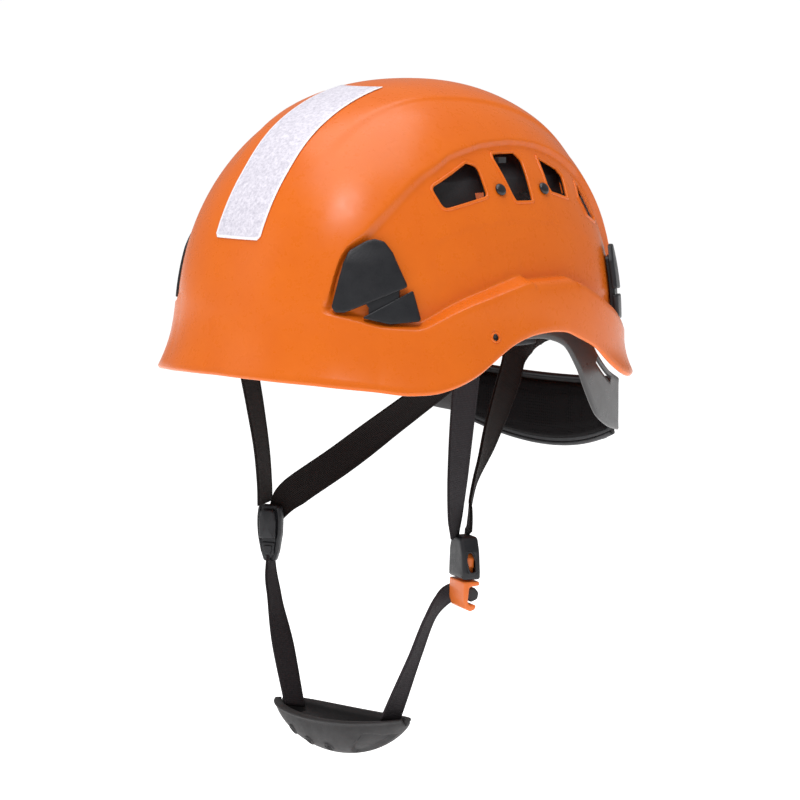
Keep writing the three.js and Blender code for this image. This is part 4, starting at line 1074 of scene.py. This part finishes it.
def build_nape():
    body = NODES["nape_frame"]["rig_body"]
    maker = MeshMaker()
    us = np.linspace(0, 1, 90)
    outer_face = cradle_surface(-1, 0)
    band(maker, outer_face, us, rounded_section(13, 1.0, 1.2, 38), 0.012)
    for v in (0.03, 0.97):
        path = [outer_face(u, np.array([v]), np.array([0.0]))[0] for u in np.linspace(0.01, 0.99, 80)]
        tube(maker, path, 1.5, 8, closed=False)
    seat(maker.make("nape_band", BLACK), body, "clip_black", "nape_frame")

    pad = MeshMaker()
    rings = []
    for u in np.linspace(0, 1, 110):
        end = min(u / 0.05, (1 - u) / 0.05, 1)
        puff = math.sqrt(max(1 - (1 - end) ** 2, 0.02))
        ring = []
        for v in np.linspace(0, 1, 15):
            seam = math.exp(-((v - 0.12) / 0.035) ** 2) + math.exp(-((v - 0.88) / 0.035) ** 2)
            swell = math.sqrt(max(1 - (2 * v - 1) ** 4, 0))
            ring.append((v, -4.4 * puff * (0.15 + 0.85 * swell) * (1 - 0.35 * seam)))
        ring += [(v, -0.05) for v in np.linspace(0.95, 0.05, 8)]
        v, h = np.array(ring).T
        rings.append(cradle_surface(-2.5, 4)(u, 0.5 + (v - 0.5) * (0.85 + 0.15 * puff), h))
    pad.rings(rings, caps=(0, 1))
    seat(pad.make("nape_cushion", LINING), body, "padding", "nape_pad")

    across, back = frame_place([0, 0, 0], [1, 0, 0], [0, 0, 1], [0, 1, 0]), 112 - 0.7
    cover = MeshMaker()
    outline = resampled(rounded([(-46, -47), (-42, -42), (42, -42), (46, -47), (41, -67), (36, -70),
                                 (-36, -70),
                                 (-41, -67)], 4, 6), 120)
    tablet(cover, outline, back, KNOB_Y + 2, across, edge=2.4, rings=5, back_edge=0.3)
    for x in (-34, -28, 28, 34):
        rib = rounded([(x - 1, -62), (x + 1, -62), (x + 1, -50), (x - 1, -50)], 0.9, 4)
        tablet(cover, rib, KNOB_Y + 1.5, KNOB_Y + 2.6, across, edge=0.4, rings=2)
    piece = cover.make("nape_housing", BLACK)
    cutter = MeshMaker()
    hollow = [(-47, KNOB_Z - 11), (47, KNOB_Z - 11), (47, KNOB_Z + 11), (-47, KNOB_Z + 11)]
    tablet(cutter, rounded(hollow, 0.4, 3), RACK_Y - 2, RACK_Y + 3.6, across, edge=0.1, rings=2)
    lathe(cutter, [(3, -4), (3, 20)], [0, RACK_Y, KNOB_Z], [0, 1, 0], 32)
    cut_by(piece, cutter.make("cover_cutter", BLACK))
    seat(piece, body, "clip_black", "nape_cover")
    build_knob()


def build_knob():
    """A dial with finger scallops, a raised rim and a dished middle with a ratchet ring."""
    sides, lobes = 240, 12
    turn = full_turn(sides)
    profile = [(0.2, 1.2), (3, 1.2), (3, 0.0), (14, 0.0), (16.2, 0.7), (17, 1.9), (17, 8.6), (16.6, 10.0),
               (15.4, 10.9),
               (14.2, 11), (13.2, 10.7), (12.2, 9.6), (7.6, 9.2), (7.2, 10.2), (6.4, 10.6), (0.2, 10.7)]
    rings = []
    for r, h in profile:
        scallop = 1 - smooth(13.5, 16.5, r) * 0.14 * np.maximum(np.cos(turn * lobes), -0.2) ** 3
        radius = r * scallop
        rings.append(np.stack([radius * np.cos(turn), KNOB_Y + 2.6 + h + 0 * turn,
                               KNOB_Z + radius * np.sin(turn)], 1))
    maker = MeshMaker()
    maker.rings(rings, caps=(0, 1))
    for k in range(24):
        angle = k / 24 * 2 * math.pi
        out = np.array([math.cos(angle), 0, math.sin(angle)])
        at = [np.array([0, KNOB_Y + 2.6 + 9.5, KNOB_Z]) + out * r for r in (8.4, 9.6, 10.8, 11.8)]
        tube(maker, at, 0.4, 6, closed=False, out=np.tile([0, 1, 0], (4, 1)))
    seat(maker.make("nape_dial_knob", BLACK, angle=50), NODES["nape_knob"]["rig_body"], "clip_black",
         "nape_knob")


# ---------------------------------------------------------------- buckle, slider and cup
BUCKLE = np.array([75.7, -29.5, 0])
SLIDER = np.array([-75.7, -29.5, 0])
TURN = math.radians(-24)
WIDE = np.array([math.cos(TURN), math.sin(TURN), 0])
THICK = np.array([-math.sin(TURN), math.cos(TURN), 0])


def build_buckle():
    chin = NODES["buckle_plug"]["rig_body"]
    front = frame_place(BUCKLE, WIDE, UP, THICK)
    side = frame_place(BUCKLE, THICK, UP, -WIDE)
    shell = MeshMaker()
    outline = resampled(rounded([(-11, -127), (11, -127), (11.2, -123), (10, -112), (7, -104.8),
                                 (-7, -104.8),
                                 (-10, -112), (-11.2, -123)], [1.2, 1.2, 4, 6, 3, 3, 6, 4], 7), 120)
    tablet(shell, outline, -5, 5, front, edge=1.7, crown=0.5, rings=6, back_edge=1.7)
    piece = shell.make("buckle_body", BLACK)
    cutter = MeshMaker()
    tablet(cutter, rounded([(-9.3, -134), (9.3, -134), (9.3, -115), (7.6, -111.4), (-7.6, -111.4),
                            (-9.3, -115)], 0.8, 4), -3.2, 3.2, front,
           edge=0.5, rings=2, back_edge=0.5)
    cut_by(piece, cutter.make("buckle_cutter", BLACK))
    window = rounded([(-1.4, -123.6), (2.6, -123.6), (2.4, -117), (0.6, -112.4), (-2.2, -112.4),
                      (-2.8, -117)], 1.9, 6)
    for low, high in ((-13, -7), (7, 13)):
        cutter = MeshMaker()
        tablet(cutter, window, low, high, side, edge=0.1, rings=2)
        cut_by(piece, cutter.make("window_cutter", BLACK))
    rim = MeshMaker()
    for face in (1, -1):
        loop = resampled(window, 60)
        reach = np.interp(loop[:, 1], [-123, -112], [11.1, 10])
        path = (BUCKLE + np.outer(loop[:, 0], THICK) + np.outer(loop[:, 1], UP)
                + np.outer(reach - 0.2, WIDE) * face)
        tube(rim, path, 0.55, 8, out=np.tile(WIDE * face, (60, 1)))
    join(piece, rim.make("buckle_rim", BLACK))
    seat(piece, HELMET, "clip_black", "buckle_housing")

    plug = MeshMaker()
    tongue = rounded([(-2.4, -128.5), (2.4, -128.5), (2.4, -113), (1.4, -111.8), (-1.4, -111.8),
                      (-2.4, -113)], 0.6, 3)
    tablet(plug, tongue, -2.2, 2.2, front, edge=0.5, rings=3, back_edge=0.5)
    hook = [(-4.4, -128), (4.2, -128), (4.4, -130.2), (-1.2, -130.8), (-2.2, -138.6), (-1, -140.4),
            (1.4, -140.2),
            (2.4, -140.8), (1.8, -142.8), (-0.8, -143.8), (-3.4, -142.4), (-4.6, -138)]
    hook_outline = resampled(rounded(hook, [0.8, 0.8, 0.6, 1.2, 1.6, 1.4, 0.6, 0.6, 1.8, 2, 2, 3], 5), 110)
    sweep_prism(plug, hook_outline, side, 11)
    seat(plug.make("buckle_tongue", ACCENT, angle=40), chin, "buckle_orange", "buckle_plug")

    for word, sign in (("outer", 1), ("inner", -1)):
        prong = MeshMaker()
        blade = rounded([(3.9, -127.7), (6.6, -127.7), (7.2, -123), (8.6, -120), (8.7, -116),
                         (6.6, -113.2), (4.6, -113.8),
                         (3.9, -116)], [0.5, 0.5, 2, 2, 1.5, 1.2, 1, 1], 5)
        blade = resampled(blade, 70) * np.array([sign, 1])
        tablet(prong, blade[::sign], -2.2, 2.2, front, edge=0.7, rings=3, back_edge=0.7)
        seat(prong.make(f"release_prong_{word}", ACCENT), NODES[f"buckle_prong_{word}"]["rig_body"],
             "buckle_orange", f"buckle_prong_{word}")

    roll = MeshMaker()
    loop = rounded([(-1, -131.6), (3.2, -131.8), (5.4, -134.6), (4.6, -138), (1.2, -139.4), (-1.6, -138)],
                   2, 6)
    sweep_prism(roll, resampled(loop, 70), side, 7.6, 1.0)
    seat(roll.make("tape_roll", TAPE_ROLL), chin, "clip_black", "webbing_bar")


def sweep_prism(maker, outline, place, half, edge=0.7):
    """A closed prism of any simple outline, with its two ends rounded by an inset ring."""
    rings = []
    for t in np.linspace(0, 1, 4):
        turn = t * np.pi / 2
        points = inset_by(outline, edge * (1 - math.sin(turn)))
        rings.append((points, -half + edge * (1 - math.cos(turn))))
    rings += [(points, -h) for points, h in reversed(rings)]
    maker.rings([place(p[:, 0], p[:, 1], h + 0 * p[:, 0]) for p, h in rings], caps=(0, 1))


def build_slider():
    wide = WIDE * np.array([1, -1, 1])
    thick = THICK * np.array([1, -1, 1])
    front = frame_place(SLIDER, wide, UP, thick)
    maker = MeshMaker()
    outline = resampled(rounded([(-6.4, -103.2), (6.4, -103.2), (7.3, -110), (7, -119), (5.2, -129),
                                 (3.4, -134.4),
                                 (-3.4, -134.4), (-5.2, -129), (-7, -119), (-7.3, -110)],
                                [3, 3, 6, 8, 4, 1.5, 1.5, 4, 8, 6], 6), 120)
    tablet(maker, outline, -2.3, 2.3, front, edge=1.1, rings=6, back_edge=1.0)
    for x in (-6, 6):
        path = curve_points([SLIDER + wide * x * s + thick * 2.2 * face + UP * z
                             for s, z,
                             face in ((0.86, -104.5, 1), (1.0, -110, 1), (0.96, -119, 1),
                                      (0.66, -129, 1))], 40)
        tube(maker, path, 0.9, 8, closed=False, out=np.tile(thick, (40, 1)))
    seat(maker.make("slider_body", BLACK), HELMET, "clip_black", "strap_slider")
    gate = MeshMaker()
    back = frame_place(SLIDER, wide, UP, thick)
    lid = resampled(rounded([(-4, -105.4), (4, -105.4), (4.9, -112), (4.6, -121.6), (-4.6, -121.6),
                             (-4.9, -112)],
                            [2.4, 2.4, 4, 1, 1, 4], 6), 90)
    tablet(gate, lid, 2.5, 5.6, back, edge=1.3, crown=0.6, rings=6, back_edge=0.2)
    tail = resampled(rounded([(-4, -123.6), (4, -123.6), (3.2, -130.4), (1.6, -132.4), (-1.6, -132.4),
                              (-3.2, -130.4)],
                             [0.8, 0.8, 2, 1, 1, 2], 5), 70)
    tablet(gate, tail, 2.4, 3.9, back, edge=0.6, rings=4, back_edge=0.2)
    inner = resampled(rounded([(-2.6, -125.4), (2.6, -125.4), (1.8, -130.2), (-1.8, -130.2)], 0.8, 5), 50)
    tablet(gate, inner, 3.6, 4.6, back, edge=0.4, rings=3, back_edge=0.1)
    web = rounded([(-4.2, -124.2), (4.2, -124.2), (4.2, -121), (-4.2, -121)], 0.3, 3)
    tablet(gate, web, 2.4, 3.0, back, edge=0.1, rings=2, back_edge=0.1)
    seat(gate.make("slider_lock", BLACK), HELMET, "clip_black", "strap_slider_gate")


CUP = {"half": 49.3, "y": -47, "rim": -206, "drop": 7, "keel": -226.4, "depth": 15, "thick": 2.0}


def cup_point(u, v, inset):
    """The cup's surface: u runs from the wearer's right (-1) to left (1), v from front (-1) to back (1)."""
    u, v = np.broadcast_arrays(np.asarray(u, float), np.asarray(v, float))
    swell = np.sqrt(np.maximum(1 - u * u, 0))
    rim = CUP["rim"] - CUP["drop"] * (1 - u * u) * 0.5
    depth = (rim - CUP["keel"]) * (1 - u * u)
    y = CUP["y"] + (CUP["depth"] * swell ** 1.4 + 2.6 - inset) * np.sin(v * np.pi / 2)
    z = rim - np.maximum(depth + 2 - inset, 0.5) * np.cos(v * np.pi / 2) ** 0.8
    return np.stack([(CUP["half"] - inset) * u, y, z], -1)


def build_cup():
    chin = NODES["chin_cup"]["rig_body"]
    us = np.sin(np.linspace(-1, 1, 150) * np.pi / 2)
    vs = np.linspace(-1, 1, 61)
    rings = []
    for u in us:
        outer = cup_point(u, vs, 0)
        inner = cup_point(u, vs, CUP["thick"])
        line = 13 + (outer[:, 2] + 228) * 1.15
        beyond = smooth(-0.35, 0.35, outer[:, 0] - line) * smooth(-0.02, -0.10, vs)
        beyond = beyond * smooth(49, 44, outer[:, 0]) * smooth(-212.5, -214.0, outer[:, 2])
        inset = beyond[:, None] * (inner - outer) * 0.95
        ends = 1 - u * u
        lip = 2.6 * min(ends * 2, 1) ** 0.7
        rim_front = [outer[0] + [0, -lip, 0.2], outer[0] + [0, -lip - 0.5, 0.9], outer[0] + [0, -lip, 1.6]]
        rim_back = [outer[-1] + [0, lip * 0.6, 1.6], outer[-1] + [0, lip * 0.6 + 0.5, 0.9],
                    outer[-1] + [0, lip * 0.6, 0.2]]
        raised = inner[::-1] + UP * 1.6 * (np.abs(vs[::-1]) > 0.985)[:, None]
        rings.append(np.array([*rim_front[::-1], *(outer + inset), *rim_back[::-1], *raised]))
    maker = MeshMaker()
    maker.rings(rings, caps=(0, 1))
    piece = maker.make("cup_rubber", RUBBER)
    cutter, ringlets = MeshMaker(), MeshMaker()
    for u, v in ((-0.52, -0.62), (-0.24, -0.55), (0.06, -0.50)):
        at = cup_point(u, v, 0)
        normal = np.cross(cup_point(u + 0.02, v, 0) - at, cup_point(u, v + 0.02, 0) - at)
        normal *= np.sign(normal @ np.array([0, -1, 0])) / np.linalg.norm(normal)
        lathe(cutter, [(1.35, -4), (1.35, 4)], at, normal, 20)
        lathe(ringlets, [(2.3, -0.8), (2.35, 0.15), (2.75, 0.5), (3.2, 0.35), (3.4, -0.6)], at, normal, 32,
              caps=())
    cut_by(piece, cutter.make("cup_cutter", RUBBER))
    join(piece, ringlets.make("cup_rings", RUBBER))
    seat(piece, chin, "cup_rubber", "chin_cup")


def build_strap_anchors():
    for side, word in SIDES:
        maker = MeshMaker()
        place = frame_place([0, 0, 0], [0, 1, 0], [0, 0, 1], [side, 0, 0])
        outline = rounded([(-47.5, 5.4), (-28.5, 5.4), (-28.5, 10.5), (-31, 12), (-45, 12), (-47.5, 10.5)],
                          0.9, 4)
        tablet(maker, outline, 89, 93.2, place, edge=0.6, rings=3, back_edge=0.6)
        tube(maker, [np.array([side * 89.1, y, 6.6]) for y in np.linspace(-46, -30, 12)], 0.9, 8,
             closed=False)
        seat(maker.make(f"front_strap_clip_{word}", BLACK), HELMET, "clip_black",
             f"front_strap_anchor_{word}")
    maker = MeshMaker()
    place = frame_place([0, 0, 0], [1, 0, 0], [0, 0, 1], [0, 1, 0])
    outline = rounded([(-10, -7.8), (10, -7.8), (10, -1), (7, 1), (-7, 1), (-10, -1)], 0.9, 4)
    tablet(maker, outline, 110, 117, place, edge=0.7, rings=3, back_edge=0.6)
    seat(maker.make("rear_strap_clip", BLACK), HELMET, "clip_black", "rear_strap_anchor")


HELMET = NODES["shell"]["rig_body"]
place_camera()
light_studio()
lay_floor()
build_shell()
build_clips()
build_strip()
build_pins()
build_straps()
build_cradle()
build_headband()
build_arms()
build_nape()
build_buckle()
build_slider()
build_cup()
build_strap_anchors()
for name in NODES:
    if not NODES[name].hide_render:
        NODES[name].data.materials.clear()
        NODES[name].data.materials.append(PANEL if name.startswith("vent_shutter") else BLACK)
